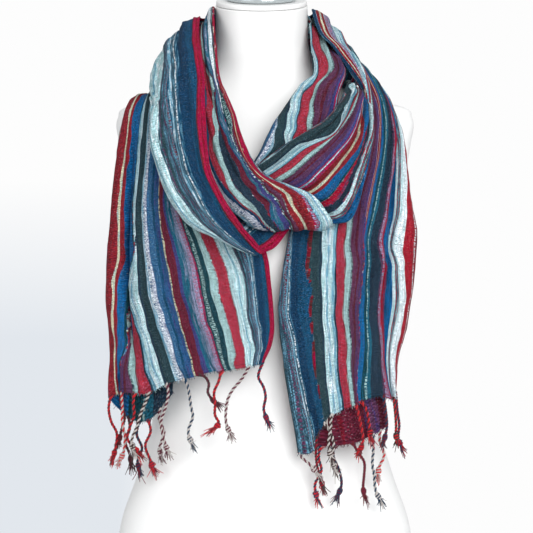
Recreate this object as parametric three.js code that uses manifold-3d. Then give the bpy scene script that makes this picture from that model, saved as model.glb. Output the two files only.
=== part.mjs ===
// A striped cotton scarf with twisted fringe, wound once round a limbless dress form.
// Millimetres, +Z up, origin in the middle of the form's flat underside, front towards -Y.

import * as THREE from 'three';
import * as BufferGeometryUtils from 'three/addons/utils/BufferGeometryUtils.js';
import Module from 'manifold-3d';

const wasm = await Module();
wasm.setup();

// Driving dimensions

const CLOTH = 1.2;            // thickness of the wall that stands for the cloth
const SEAM = 0.3;             // gap between one stretch of the scarf and the next
const RESTING = 1.0;          // height of the wall's middle above the form where it lies on it
const NECK_TOP = 703.7;       // height of the neck's top above its middle
const NECK_TILT = 0.246;      // how much the neck's top falls towards the front
const PLATE = 6;              // thickness of the plate that closes the neck
const KNOB_RADIUS = 41;       // radius and height of the glossy cap on that plate
const KNOB_HEIGHT = 11;
const STRIP_HEIGHT = 3;       // strip that carries a fringe, along the hem
const STRIP_THICKNESS = 1.6;
const STRAND_RADIUS = 1.5;    // a twisted strand, its knot and its frayed tip
const KNOT_RADIUS = 3.8;
const TIP_RADIUS = 0.8;
const KNOT_SHARE = 0.84;      // how far down a strand its knot is tied, and its length
const KNOT_SPREAD = 0.05;
const TIP_SHARE = 0.2;        // the last part of a strand, which narrows
const HEM_STATIONS = 4;       // stations before a hem over which its folds drop
const HEM_BEND = 1.5;         // how late they drop

// Fineness of the meshes

const FORM_SIDES = 28;
const STRAND_SIDES = 4;
const STRAND_RINGS = 10;
const MERGE_DISTANCE = 1e-4;
const FLOW_STEP = 0.05;       // of a station, to read the way that the cloth runs
const OUTWARD_STEP = 0.5;     // millimetres, to read the way out of the form
const OUTWARD_TURNS = 4;

// Sections of the form: height, middle, half width, front, back, squareness and forward tilt

const FORM = [
  { z: 0, x: 0, half: 164, front: -94, back: 102, square: 2.6, tilt: 0 },
  { z: 12, x: 0, half: 171, front: -100, back: 108, square: 2.6, tilt: 0 },
  { z: 62, x: 0, half: 173, front: -102, back: 112, square: 2.5, tilt: 0 },
  { z: 104, x: 0, half: 167, front: -101, back: 108, square: 2.4, tilt: 0 },
  { z: 150, x: 0, half: 151, front: -96, back: 96, square: 2.3, tilt: 0 },
  { z: 200, x: 0, half: 136, front: -90, back: 80, square: 2.3, tilt: 0 },
  { z: 250, x: 0, half: 127, front: -87, back: 69, square: 2.3, tilt: 0 },
  { z: 305, x: 0, half: 130, front: -92, back: 69, square: 2.3, tilt: 0 },
  { z: 360, x: 0, half: 138, front: -104, back: 76, square: 2.3, tilt: 0 },
  { z: 410, x: 0, half: 145, front: -110, back: 83, square: 2.3, tilt: 0 },
  { z: 455, x: 0, half: 151, front: -105, back: 86, square: 2.4, tilt: 0 },
  { z: 500, x: 0, half: 162, front: -88, back: 82, square: 2.5, tilt: 0 },
  { z: 540, x: 0, half: 170, front: -71, back: 73, square: 2.6, tilt: 0 },
  { z: 572, x: 0, half: 172, front: -58, back: 65, square: 2.6, tilt: 0 },
  { z: 583, x: 0, half: 165, front: -54, back: 62, square: 2.5, tilt: 0 },
  { z: 590, x: 0, half: 140, front: -52, back: 61, square: 2.4, tilt: 0 },
  { z: 600, x: 0, half: 108, front: -50, back: 60, square: 2.2, tilt: 0 },
  { z: 612, x: -1, half: 82, front: -49, back: 58, square: 2.1, tilt: 0 },
  { z: 626, x: -2, half: 66, front: -50, back: 56, square: 2, tilt: 0 },
  { z: 645, x: -3, half: 57, front: -53, back: 52, square: 2, tilt: 0 },
  { z: 680, x: -4, half: 54, front: -58, back: 48, square: 2, tilt: 0.12 },
  { z: NECK_TOP, x: -4, half: 54, front: -61, back: 45, square: 2, tilt: NECK_TILT },
];

// The plate's levels: height above the neck and share of the neck's size. The cap's
// profile: shares of its radius and of its height, from below.

const PLATE_LEVELS = [[SEAM, 0.985], [SEAM + PLATE - 1, 0.985], [SEAM + PLATE, 0.96]];
const KNOB_PROFILE = [
  [0, 0], [0.86, 0], [0.97, 0.12], [1, 0.35], [0.94, 0.62], [0.7, 0.88], [0.35, 1], [0, 1],
];

// Smooth curves and sheets

function hermite(knots, rows, at) {
  let i = 0;
  while (i < knots.length - 2 && at > knots[i + 1]) i += 1;
  const slope = (k, c) => (rows[k + 1][c] - rows[k][c]) / (knots[k + 1] - knots[k]);
  const tangent = (k, c) => {
    if (k === 0) return slope(0, c);
    if (k === knots.length - 1) return slope(k - 1, c);
    const before = knots[k] - knots[k - 1];
    const after = knots[k + 1] - knots[k];
    return (slope(k - 1, c) * after + slope(k, c) * before) / (before + after);
  };
  const step = knots[i + 1] - knots[i];
  const t = THREE.MathUtils.clamp((at - knots[i]) / step, 0, 1);
  const t2 = t * t;
  const t3 = t2 * t;
  return rows[i].map((value, c) => (2 * t3 - 3 * t2 + 1) * value
    + (t3 - 2 * t2 + t) * step * tangent(i, c)
    + (3 * t2 - 2 * t3) * rows[i + 1][c]
    + (t3 - t2) * step * tangent(i + 1, c));
}

// How far outside the form a point lies, about, and the way out

function formShare(x, y, z) {
  const heights = FORM.map((row) => row.z);
  const rows = FORM.map((row) => [row.x, row.half, row.front, row.back, row.square]);
  const [middle, half, front, back, square] = hermite(heights, rows, z);
  const depth = y < 0 ? -front : back;
  return (Math.abs((x - middle) / half) ** square + Math.abs(y / depth) ** square) ** (1 / square);
}

function restOnForm(point, clearance) {
  const step = OUTWARD_STEP;
  for (let turn = 0; turn < OUTWARD_TURNS; turn += 1) {
    const share = formShare(point.x, point.y, point.z);
    const way = new THREE.Vector3(
      formShare(point.x + step, point.y, point.z) - formShare(point.x - step, point.y, point.z),
      formShare(point.x, point.y + step, point.z) - formShare(point.x, point.y - step, point.z),
      formShare(point.x, point.y, point.z + step) - formShare(point.x, point.y, point.z - step),
    ).divideScalar(2 * step);
    const outside = (share - 1) / way.length();
    if (outside >= clearance) return;
    point.addScaledVector(way.normalize(), clearance - outside);
  }
}

const vector = (row, start) => new THREE.Vector3(row[start], row[start + 1], row[start + 2]);

// The cloth hangs between two rails. `rails` has a row for each station: first rail
// x, y, z, then second rail x, y, z. `shapes` says which section the cloth has at which
// station, and a section has a row for each fold: millimetres along the cloth's width,
// the share of the way from rail to rail, how far it stands proud of the line between
// them, and how much lower its hem ends. `side` is the way that counts as proud.
// The answer is a function from a share of the width and a distance to a point.

function draped({ rails, shapes, side }) {
  const stations = rails.map((row, k) => k);
  const middles = rails.map((row) => vector(row, 0).add(vector(row, 3)).multiplyScalar(0.5));
  const facing = rails.map((row, k) => {
    const flow = middles[Math.min(k + 1, rails.length - 1)].clone()
      .sub(middles[Math.max(k - 1, 0)]);
    return vector(row, 3).sub(vector(row, 0)).cross(flow).setLength(side).toArray();
  });
  const travelled = [0];
  for (let k = 1; k < rails.length; k += 1) {
    travelled.push(travelled[k - 1] + middles[k].distanceTo(middles[k - 1]));
  }
  const length = travelled[travelled.length - 1];
  const shapeAt = shapes.map((shape) => shape.at);

  const sectionRow = (section, share) => {
    const knots = section.map((row) => row[0]);
    const total = knots[knots.length - 1] - knots[0];
    const rest = section.map((row) => [row[1], row[2], row[3] ?? 0]);
    return hermite(knots, rest, knots[0] + share * total);
  };

  const pointAt = (share, distance) => {
    let k = 0;
    while (k < rails.length - 2 && distance > travelled[k + 1]) k += 1;
    const station = k + (distance - travelled[k]) / (travelled[k + 1] - travelled[k]);
    const row = hermite(stations, rails, station);
    const normal = vector(hermite(stations, facing, station), 0).normalize();
    const next = hermite(stations, rails, Math.min(station + FLOW_STEP, rails.length - 1));
    const last = hermite(stations, rails, Math.max(station - FLOW_STEP, 0));
    const flow = vector(next, 0).add(vector(next, 3)).sub(vector(last, 0))
      .sub(vector(last, 3)).normalize();
    const perShape = shapes.map((shape) => sectionRow(shape.section, share));
    const fold = shapes.length > 1 ? hermite(shapeAt, perShape, station) : perShape[0];
    const hemStart = rails.length - 1 - HEM_STATIONS;
    const nearHem = Math.max(0, (station - hemStart) / HEM_STATIONS);
    const point = vector(row, 0).lerp(vector(row, 3), fold[0]);
    point.addScaledVector(normal, fold[1]);
    point.addScaledVector(flow, fold[2] * nearHem ** HEM_BEND);
    restOnForm(point, RESTING);
    return point;
  };
  return { pointAt, travelled };
}

function gridBetween(pointAt, from, to, across, along) {
  const grid = [];
  for (let i = 0; i <= across; i += 1) {
    const column = [];
    for (let j = 0; j <= along; j += 1) {
      column.push(pointAt(i / across, from + ((to - from) * j) / along));
    }
    grid.push(column);
  }
  return grid;
}

function gridNormals(grid) {
  const lastColumn = grid.length - 1;
  const lastRow = grid[0].length - 1;
  return grid.map((column, i) => column.map((point, j) => {
    const right = grid[Math.min(i + 1, lastColumn)][j].clone()
      .sub(grid[Math.max(i - 1, 0)][j]);
    const down = column[Math.min(j + 1, lastRow)].clone().sub(column[Math.max(j - 1, 0)]);
    return right.cross(down).normalize();
  }));
}

// Two offset copies of a grid, joined round their edges, make a wall

function wallGeometry(grid, thickness) {
  const normals = gridNormals(grid);
  const columns = grid.length;
  const rows = grid[0].length;
  const positions = [];
  for (const side of [0.5, -0.5]) {
    grid.forEach((column, i) => column.forEach((point, j) => {
      const moved = point.clone().addScaledVector(normals[i][j], side * thickness);
      positions.push(moved.x, moved.y, moved.z);
    }));
  }
  const outer = (i, j) => i * rows + j;
  const inner = (i, j) => columns * rows + i * rows + j;
  const index = [];
  const quad = (a, b, c, d) => index.push(a, b, c, a, c, d);
  for (let i = 0; i < columns - 1; i += 1) {
    for (let j = 0; j < rows - 1; j += 1) {
      quad(outer(i, j), outer(i + 1, j), outer(i + 1, j + 1), outer(i, j + 1));
      quad(inner(i, j), inner(i, j + 1), inner(i + 1, j + 1), inner(i + 1, j));
    }
  }
  for (let i = 0; i < columns - 1; i += 1) {
    quad(outer(i, 0), inner(i, 0), inner(i + 1, 0), outer(i + 1, 0));
    quad(outer(i, rows - 1), outer(i + 1, rows - 1), inner(i + 1, rows - 1), inner(i, rows - 1));
  }
  for (let j = 0; j < rows - 1; j += 1) {
    quad(outer(0, j), outer(0, j + 1), inner(0, j + 1), inner(0, j));
    quad(outer(columns - 1, j), inner(columns - 1, j), inner(columns - 1, j + 1),
      outer(columns - 1, j + 1));
  }
  const geometry = new THREE.BufferGeometry();
  geometry.setAttribute('position', new THREE.Float32BufferAttribute(positions, 3));
  geometry.setIndex(index);
  return geometry;
}

// Sections of the cloth, from the first rail to the second

const LEFT_SHOULDER = [
  [0, 0, 1], [46, 0.2, 5], [71, 0.33, 3], [98, 0.46, 6], [122, 0.58, 4], [150, 0.72, 6],
  [170, 0.82, 2], [198, 0.93, 6], [222, 1, 1], [240, 0.97, -4], [268, 0.86, -4],
  [314, 0.66, -4],
];

const LEFT_CHEST = [
  [0, 0, 0], [22, 0.08, 6], [46, 0.22, 15], [71, 0.37, 21], [88, 0.46, 20], [98, 0.52, 22],
  [122, 0.63, 20], [140, 0.71, 17], [162, 0.81, 13], [170, 0.84, 7], [176, 0.855, -1],
  [184, 0.88, 6], [198, 0.93, 12], [212, 0.98, 8], [222, 1, 0], [232, 0.97, -7],
  [262, 0.82, 0], [290, 0.66, 9], [314, 0.55, 12],
];

const LEFT_HEM = [
  [0, 0, 0, 0], [8, 0.03, 4, 0], [46, 0.12, 8, 0], [71, 0.24, 17, 0], [88, 0.32, 16, -2],
  [98, 0.39, 21, 0], [122, 0.5, 19, 0], [140, 0.59, 21, 2], [162, 0.71, 18, 8],
  [176, 0.79, 19, 4], [194, 0.89, 12, 0], [205, 0.925, 4, -2], [212, 0.945, 3, 0],
  [222, 0.985, 6, 0], [230, 1, -1, 2], [240, 0.965, -6, 12], [268, 0.8, -1, 36],
  [292, 0.68, 6, 34], [314, 0.56, 9, 12],
];

const RIGHT_NECK = [
  [0, 0, -3], [30, 0.05, 2], [60, 0.15, 7], [95, 0.26, 5], [125, 0.38, 9], [160, 0.5, 7],
  [195, 0.62, 10], [230, 0.74, 7], [265, 0.86, 8], [292, 0.96, 3], [314, 1, -3],
];

const RIGHT_CHEST = [
  [0, 0.8, 5], [40, 0.55, 10], [85, 0.25, 7], [110, 0.06, -2], [123, 0, -1], [132, 0.03, 5],
  [146, 0.11, 8], [160, 0.24, 15], [177, 0.36, 19], [188, 0.43, 17], [200, 0.5, 21],
  [216, 0.59, 18], [238, 0.68, 20], [258, 0.74, 15], [264, 0.77, 8], [272, 0.8, 11],
  [290, 0.88, 12], [302, 0.94, 10], [314, 1, 0],
];

const RIGHT_HEM = [
  [0, 0.86, 4, 34], [40, 0.66, 8, 40], [85, 0.4, 9, 42], [110, 0.12, 0, 38],
  [123, 0, -2, 40], [132, 0.02, 5, 42], [144, 0.12, 8, 40], [150, 0.17, 2, 30],
  [158, 0.22, 9, 16], [168, 0.29, 14, 6], [177, 0.35, 17, 4], [188, 0.42, 15, 2],
  [200, 0.5, 20, 0], [216, 0.58, 17, -2], [238, 0.72, 19, -4], [252, 0.82, 16, -2],
  [262, 0.9, 11, 4], [268, 0.93, 2, 5], [290, 0.97, 4, 3], [314, 1, 0, 0],
];

const COLLAR = [
  [0, 0, 0], [25, 0.1, 6], [50, 0.22, 11], [75, 0.36, 12], [100, 0.5, 15], [125, 0.66, 13],
  [150, 0.8, 12], [175, 0.93, 6], [190, 1, -2],
];

const BAND = [
  [0, 0, 0], [8, 0.06, 4], [22, 0.27, 6], [30, 0.42, 10], [40, 0.56, 8], [54, 0.76, 12],
  [66, 0.92, 9], [74, 1, 1], [84, 0.96, -8], [110, 0.74, -8],
];

const BAND_END = [
  [0, 0, 0], [8, 0.12, 3], [22, 0.36, 4], [30, 0.5, 6], [40, 0.66, 5], [54, 0.82, 6],
  [66, 0.94, 4], [74, 1, 0], [84, 0.96, -4], [110, 0.8, -4],
];

const INNER_BAND = [
  [0, 0, 0], [12, 0.1, 4], [24, 0.24, 5], [40, 0.42, 3], [56, 0.6, 5], [72, 0.8, 3],
  [90, 1, 0],
];

const CROSSING = [
  [0, 0, 0], [10, 0.07, 5], [22, 0.18, 7], [30, 0.3, 4], [42, 0.42, 8], [52, 0.5, 6],
  [66, 0.66, 9], [80, 0.82, 6], [90, 1, 0],
];

const BUNDLE = [
  [0, 0, -5], [10, 0.03, 3], [20, 0.12, 9], [32, 0.2, 6], [44, 0.28, 13], [56, 0.37, 11],
  [70, 0.46, 16], [84, 0.56, 14], [98, 0.65, 18], [112, 0.74, 15], [126, 0.83, 17],
  [138, 0.91, 11], [150, 0.97, 5], [160, 1, -4], [172, 0.96, -12],
];

const BUNDLE_START = [
  [0, 0, 0], [20, 0.12, 5], [44, 0.28, 7], [56, 0.36, 5], [70, 0.45, 9], [84, 0.54, 7],
  [98, 0.64, 8], [126, 0.84, 6], [150, 0.97, 2], [160, 1, 0], [172, 0.98, -3],
];

const BUNDLE_END = [
  [0, 0, 0], [20, 0.12, 2], [44, 0.28, 1], [70, 0.45, 3], [98, 0.64, 2], [126, 0.84, 3],
  [150, 0.97, 1], [160, 1, 0], [172, 0.98, -2],
];

const INNER_RIGHT = [
  [0, 0, -3], [8, 0.06, 3], [22, 0.25, 6], [34, 0.42, 4], [46, 0.58, 7], [58, 0.75, 4],
  [72, 0.9, 6], [84, 1, 0],
];

const INNER_TOP = [
  [0, 0, 0], [22, 0.25, 1], [46, 0.58, 2], [84, 1, 0],
];

const LOW_TURN = [
  [0, 0, 0], [10, 0.25, 3], [24, 0.6, 2], [40, 1, 0],
];

// Stretches of the scarf: the first rail's x, y, z and then the second rail's, by station

const STRETCHES = {
  left_end: {
    across: 32,
    along: 17,
    shapes: [
      { at: 0, section: LEFT_SHOULDER },
      { at: 3, section: LEFT_SHOULDER },
      { at: 6, section: LEFT_CHEST },
      { at: 9, section: LEFT_CHEST },
      { at: 13, section: LEFT_HEM },
    ],
    rails: [
      [-66, 12, 630, -146, 12, 593],
      [-68, -26, 618, -154, -30, 588],
      [-66, -64, 595, -161, -52, 570],
      [-58, -88, 564, -166, -56, 545],
      [-46, -106, 524, -170, -56, 512],
      [-32, -118, 482, -176, -54, 474],
      [-14, -123, 444, -181, -50, 436],
      [2, -125, 412, -184, -46, 402],
      [7, -126, 378, -185, -45, 368],
      [10, -124, 346, -183, -46, 336],
      [10, -122, 326, -181, -48, 314],
      [7, -121, 310, -180, -50, 292],
      [3, -120, 300, -179, -52, 272],
      [0, -119, 293, -178, -54, 253],
    ],
  },
  right_end: {
    across: 36,
    along: 19,
    shapes: [
      { at: 0, section: RIGHT_NECK },
      { at: 3, section: RIGHT_NECK },
      { at: 8, section: RIGHT_CHEST },
      { at: 12, section: RIGHT_CHEST },
      { at: 16, section: RIGHT_HEM },
    ],
    rails: [
      [60, 26, 701, 116, 30, 618],
      [58, -4, 698, 119, -6, 613],
      [66, -42, 668, 124, -38, 604],
      [80, -64, 649, 133, -56, 591],
      [93, -78, 622, 143, -66, 577],
      [98, -86, 596, 152, -70, 558],
      [92, -94, 566, 158, -72, 534],
      [74, -104, 528, 162, -74, 504],
      [52, -114, 490, 165, -78, 470],
      [34, -121, 452, 171, -80, 438],
      [27, -125, 415, 170, -80, 408],
      [21, -126, 386, 168, -78, 384],
      [16, -125, 356, 164, -76, 354],
      [17, -123, 324, 159, -76, 324],
      [21, -121, 292, 152, -76, 296],
      [26, -119, 262, 150, -76, 274],
      [32, -117, 234, 149, -76, 258],
    ],
  },
  loop_outer_left: {
    across: 14,
    along: 23,
    shapes: [
      { at: 0, section: COLLAR },
      { at: 2, section: COLLAR },
      { at: 6, section: BAND },
      { at: 10, section: BAND },
      { at: 13, section: BAND_END },
    ],
    rails: [
      [-75, 26, 692, -124, 30, 620],
      [-76, -4, 689, -129, -6, 616],
      [-76, -44, 662, -133, -40, 604],
      [-72, -75, 636, -134, -68, 587],
      [-68, -97, 609, -135, -84, 566],
      [-66, -112, 583, -134, -94, 547],
      [-63, -124, 555, -130, -104, 530],
      [-60, -133, 531, -122, -114, 508],
      [-57, -140, 507, -114, -123, 486],
      [-46, -145, 484, -102, -131, 464],
      [-34, -149, 463, -84, -138, 444],
      [-20, -151, 442, -58, -144, 431],
      [-8, -151, 425, -32, -147, 419],
      [-1, -149.5, 413, -12, -148, 411],
    ],
  },
  loop_crossing: {
    across: 12,
    along: 21,
    shapes: [
      { at: 0, section: INNER_BAND },
      { at: 5, section: INNER_BAND },
      { at: 10, section: CROSSING },
      { at: 13, section: CROSSING },
    ],
    rails: [
      [-58, 26, 703, -77, 28, 668],
      [-59, -4, 701, -79, -4, 660],
      [-58, -42, 681, -81, -42, 636],
      [-55, -63, 645, -80, -66, 606],
      [-51, -79, 613, -77, -85, 582],
      [-43, -92, 593, -74, -98, 560],
      [-34, -103, 571, -71, -108, 540],
      [-26, -111, 546, -67, -115, 518],
      [-16, -120, 519, -60, -122, 496],
      [2, -134, 499, -50, -128, 477],
      [27, -149, 487, -38, -133, 461],
      [54, -157, 474, -28, -136, 452],
      [72, -157, 450, -22, -137, 447],
      [74, -148, 442, -19, -133, 443],
    ],
  },
  loop_low_turn: {
    across: 5,
    along: 6,
    shapes: [{ at: 0, section: LOW_TURN }],
    rails: [
      [-2, -133, 413, -40, -129, 430],
      [12, -134, 420, -26, -124.4, 446],
      [26, -132, 438, -10, -124, 458],
      [40, -128, 456, 4, -120, 474],
    ],
  },
  loop_right_main: {
    across: 16,
    along: 18,
    shapes: [
      { at: 0, section: BUNDLE_START },
      { at: 1, section: BUNDLE_START },
      { at: 4, section: BUNDLE },
      { at: 7, section: BUNDLE },
      { at: 9, section: BUNDLE_END },
      { at: 11, section: BUNDLE_END },
    ],
    rails: [
      [-20, -115, 500, 56, -131, 452],
      [-8, -121, 511, 76, -137, 446],
      [10, -132, 524, 92, -141, 449],
      [28, -136, 537, 102, -141, 464],
      [48, -137, 549, 108, -138, 485],
      [63, -134, 559, 114, -132, 508],
      [76, -127, 572, 117, -124, 533],
      [88, -112, 588, 112, -112, 558],
      [93, -95, 601, 107, -98, 576],
      [92, -74, 606, 106, -76, 588],
      [88, -42, 612, 106, -40, 599],
      [86, 4, 616, 106, 6, 605],
    ],
  },
  loop_right_inner: {
    across: 10,
    along: 16,
    shapes: [
      { at: 0, section: INNER_RIGHT },
      { at: 7, section: INNER_RIGHT },
      { at: 9, section: INNER_TOP },
    ],
    rails: [
      [-15, -106, 510, 14, -112, 502],
      [-5, -106, 530, 42, -116, 520],
      [5, -103, 552, 62, -117, 536],
      [18, -98, 573, 76, -113, 552],
      [30, -92, 590, 80, -107, 574],
      [40, -86, 602, 84, -98, 595],
      [53, -80, 612, 91, -86, 614],
      [54, -66, 634, 88.9, -72, 626.9],
      [53, -46, 657, 79, -52, 638],
      [52, -20, 679, 79, -24, 647],
      [53, 16, 688, 78, 14, 650],
    ],
  },
  neck_back_outer: {
    across: 14,
    along: 14,
    shapes: [
      { at: 0, section: COLLAR },
      { at: 3, section: RIGHT_NECK },
      { at: 6, section: RIGHT_NECK },
    ],
    rails: [
      [-75, 27, 692, -124, 31, 620],
      [-62, 62, 697, -104, 76, 604],
      [-36, 80, 699, -62, 98, 588],
      [-4, 86, 700, -4, 104, 580],
      [30, 81, 700, 56, 98, 588],
      [54, 62, 700, 99, 76, 604],
      [60, 27, 701, 116, 31, 618],
    ],
  },
  neck_back_inner: {
    across: 10,
    along: 14,
    shapes: [{ at: 0, section: INNER_BAND }],
    rails: [
      [-58, 27, 703, -77, 29, 668],
      [-49, 48, 708, -66, 54, 652],
      [-32, 61, 712, -42, 70, 644],
      [-4, 66, 713, -4, 76, 642],
      [26, 61, 712, 40, 70, 644],
      [43, 48, 704, 64, 54, 648],
      [53, 17, 688, 78, 15, 650],
    ],
  },
};

// Stretches that follow one another in one length of cloth. A stretch whose table starts
// at the neck but which comes before the neck's back in the chain is read backwards.

const CHAINS = [
  { side: 1, stretches: [['left_end', 1]] },
  { side: -1, stretches: [['loop_outer_left', -1], ['neck_back_outer', 1], ['right_end', 1]] },
  { side: -1, stretches: [['loop_crossing', -1], ['neck_back_inner', 1], ['loop_right_inner', -1]] },
  { side: 1, stretches: [['loop_right_main', 1]] },
  { side: -1, stretches: [['loop_low_turn', 1]] },
];

// Strands of the fringes: where along the hem a strand starts, in millimetres of cloth,
// and then its bends as x, y, z from there

const LEFT_STRANDS = [
  [2, [-5, 0, -16], [1, -2, -28], [3, -2, -38], [1, -2, -52], [4, -2, -62], [9, -2, -72]],
  [30, [-10, -1, -16], [-20, -2, -28], [-25, -2, -38], [-27, -2, -50], [-27, -2, -62], [-18, -2, -86]],
  [71, [-3, -1, -12], [-8, -2, -24], [-7, -2, -38], [-7, -2, -50], [-3, -2, -58], [-16, -2, -68]],
  [96, [7, -2, -3], [11, -4, -10], [10, -4, -20], [15, -4, -28], [22, -4, -34]],
  [118, [5, -1, -8], [7, -2, -18], [9, -2, -32], [11, -2, -42], [6, -2, -60], [14, -2, -82]],
  [138, [2, 0, -10], [0, -1, -24], [-6, -1, -44], [-2, -1, -66], [4, -1, -86]],
  [158, [-4, -2, -10], [-10, -4, -24], [-14, -5, -38], [-20, -5, -54], [-16, -5, -74]],
  [176, [-1, 0, -14], [0, 1, -26], [-5, 2, -40], [-8, 2, -52], [2, 2, -66], [10, 2, -76]],
  [194, [1, 0, -18], [1, 0, -36], [4, 0, -52], [2, 0, -70], [-6, 0, -86]],
  [206, [1, 2, -14], [5, 3, -30], [1, 3, -46], [-3, 3, -64]],
  [219, [-3, 0, -16], [0, 0, -32], [6, 0, -44], [5, 0, -60], [0, 0, -80]],
  [256, [2, 0, -15], [-3, 0, -30], [2, 0, -45], [4, 0, -60]],
  [270, [-3, 0, -16], [3, 0, -32], [-2, 0, -46], [2, 0, -62]],
  [284, [3, 0, -14], [-3, 0, -30], [3, 0, -48], [7, 0, -62]],
  [300, [-2, 0, -12], [4, 0, -28], [-1, 0, -46], [2, 0, -60]],
];

const RIGHT_STRANDS = [
  [16, [-1, 0, -12], [4, 0, -30], [-2, 0, -44], [-3, 0, -56]],
  [32, [0, 0, -20], [-1, 0, -35], [1, 0, -47], [3, 0, -65], [14, 0, -82]],
  [74, [6, 0, -11], [13, 0, -22], [13, 0, -38], [12, 0, -50], [15, 0, -66]],
  [92, [-1, 0, -14], [5, 0, -28], [8, 0, -44], [2, 0, -62]],
  [102, [-2, 0, -14], [1, 0, -28], [-6, 0, -44], [-2, 0, -66]],
  [128, [3, -1, -6], [9, -2, -11], [14, -2, -16], [20, -2, -23]],
  [151, [-1, -1, -16], [0, -2, -30], [3, -2, -44], [9, -2, -62]],
  [160, [8, -1, -12], [11, -2, -28], [9, -2, -40], [14, -2, -56]],
  [170, [-1, -2, -18], [-3, -3, -34], [1, -3, -52]],
  [206, [3, 0, -12], [6, 0, -26], [8, 0, -40], [3, 0, -58]],
  [218, [6, 0, -10], [9, 0, -24], [11, 0, -42]],
  [252, [3, 0, -20], [4, 0, -34], [2, 0, -46], [-1, 0, -56]],
  [282, [2, 0, -18], [3, 0, -34], [3, 0, -46], [6, 0, -54]],
  [312, [2, 0, -22], [4, 0, -38], [3, 0, -52], [9, 0, -68]],
];

const FRINGES = [
  { name: 'left_fringe', end: 'left_end', strands: LEFT_STRANDS },
  { name: 'right_fringe', end: 'right_end', strands: RIGHT_STRANDS },
];

const LOOKS = {
  shell: { color: 0xf2f2f0, roughness: 0.55 },
  knob: { color: 0xb9c0c4, roughness: 0.2 },
  cloth: { color: 0x3b5f78, roughness: 0.9 },
  fringe: { color: 0x8c1f33, roughness: 0.9 },
};

const scarf = new THREE.Group();

function addMesh(parent, name, geometry, look) {
  const material = new THREE.MeshStandardMaterial({ ...look, metalness: 0 });
  const mesh = new THREE.Mesh(geometry, material);
  mesh.name = name;
  parent.add(mesh);
}

// The form is a stack of superellipses, closed flat below and at the neck

function superellipse(row, sides, scale) {
  const ring = [];
  const power = 2 / row.square;
  for (let i = 0; i < sides; i += 1) {
    const angle = (i / sides) * 2 * Math.PI;
    const cos = Math.cos(angle);
    const sin = Math.sin(angle);
    const depth = sin < 0 ? -row.front : row.back;
    const y = scale * depth * Math.sign(sin) * Math.abs(sin) ** power;
    ring.push([
      row.x + scale * row.half * Math.sign(cos) * Math.abs(cos) ** power,
      y,
      row.z + row.tilt * y,
    ]);
  }
  return ring;
}

function stackGeometry(rings) {
  const sides = rings[0].length;
  const middle = (ring) => [0, 1, 2].map((c) => ring.reduce((sum, p) => sum + p[c], 0) / sides);
  const positions = rings.flat(2);
  positions.push(...middle(rings[0]), ...middle(rings[rings.length - 1]));
  const bottom = rings.length * sides;
  const index = [];
  for (let k = 0; k < rings.length - 1; k += 1) {
    for (let i = 0; i < sides; i += 1) {
      const a = k * sides + i;
      const b = k * sides + ((i + 1) % sides);
      index.push(a, b, b + sides, a, b + sides, a + sides);
    }
  }
  for (let i = 0; i < sides; i += 1) {
    const next = (i + 1) % sides;
    index.push(bottom, next, i);
    index.push(bottom + 1, bottom - sides + i, bottom - sides + next);
  }
  const geometry = new THREE.BufferGeometry();
  geometry.setAttribute('position', new THREE.Float32BufferAttribute(positions, 3));
  geometry.setIndex(index);
  return geometry;
}

function addForm(parent) {
  const torso = stackGeometry(FORM.map((row) => superellipse(row, FORM_SIDES, 1)));
  addMesh(parent, 'form_torso', torso, LOOKS.shell);

  const neck = FORM[FORM.length - 1];
  const plate = stackGeometry(PLATE_LEVELS.map(([lift, scale]) => superellipse(
    { ...neck, z: neck.z + lift },
    FORM_SIDES,
    scale,
  )));
  addMesh(parent, 'form_neck_cap', plate, LOOKS.shell);

  const knobBottom = neck.z + 2 * SEAM + PLATE;
  const outline = KNOB_PROFILE.map(([radius, height]) => (
    new THREE.Vector2(radius * KNOB_RADIUS, height * KNOB_HEIGHT)
  ));
  const knob = new THREE.LatheGeometry(outline, FORM_SIDES);
  const cap = new THREE.Group();
  cap.position.set(neck.x, (neck.front + neck.back) / 2, knobBottom);
  cap.position.z += NECK_TILT * cap.position.y;
  cap.rotation.x = Math.PI / 2 + Math.atan(NECK_TILT);
  addMesh(cap, 'form_cap_knob', knob, LOOKS.knob);
  parent.add(cap);
}

// Each chain is draped once, and its stretches are cut from it with a seam between them

function addChain(parent, { side, stretches }, hems) {
  const rails = [];
  const shapes = [];
  const spans = [];
  for (const [name, way] of stretches) {
    const stretch = STRETCHES[name];
    const count = stretch.rails.length - 1;
    const start = Math.max(rails.length - 1, 0);
    const ordered = way > 0 ? stretch.rails : [...stretch.rails].reverse();
    rails.push(...(rails.length ? ordered.slice(1) : ordered));
    const marks = stretch.shapes.map(({ at, section }) => ({
      at: start + (way > 0 ? at : count - at),
      section,
    }));
    if (way < 0) marks.reverse();
    shapes.push(...marks.filter((mark) => !shapes.some((other) => other.at === mark.at)));
    spans.push({ name, from: start, to: start + count, ...stretch });
  }
  const { pointAt, travelled } = draped({ rails, shapes, side });
  for (const { name, from, to, across, along } of spans) {
    const top = travelled[from] + (from > 0 ? SEAM / 2 : 0);
    const low = travelled[to] - (to < rails.length - 1 ? SEAM / 2 : 0);
    const grid = gridBetween(pointAt, top, low, across, along);
    addMesh(parent, name, wallGeometry(grid, CLOTH), LOOKS.cloth);
    hems[name] = grid.map((column) => column.slice(-2));
  }
}

// A strand is a four-sided tube that swells at its knot and narrows to its tip

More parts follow.
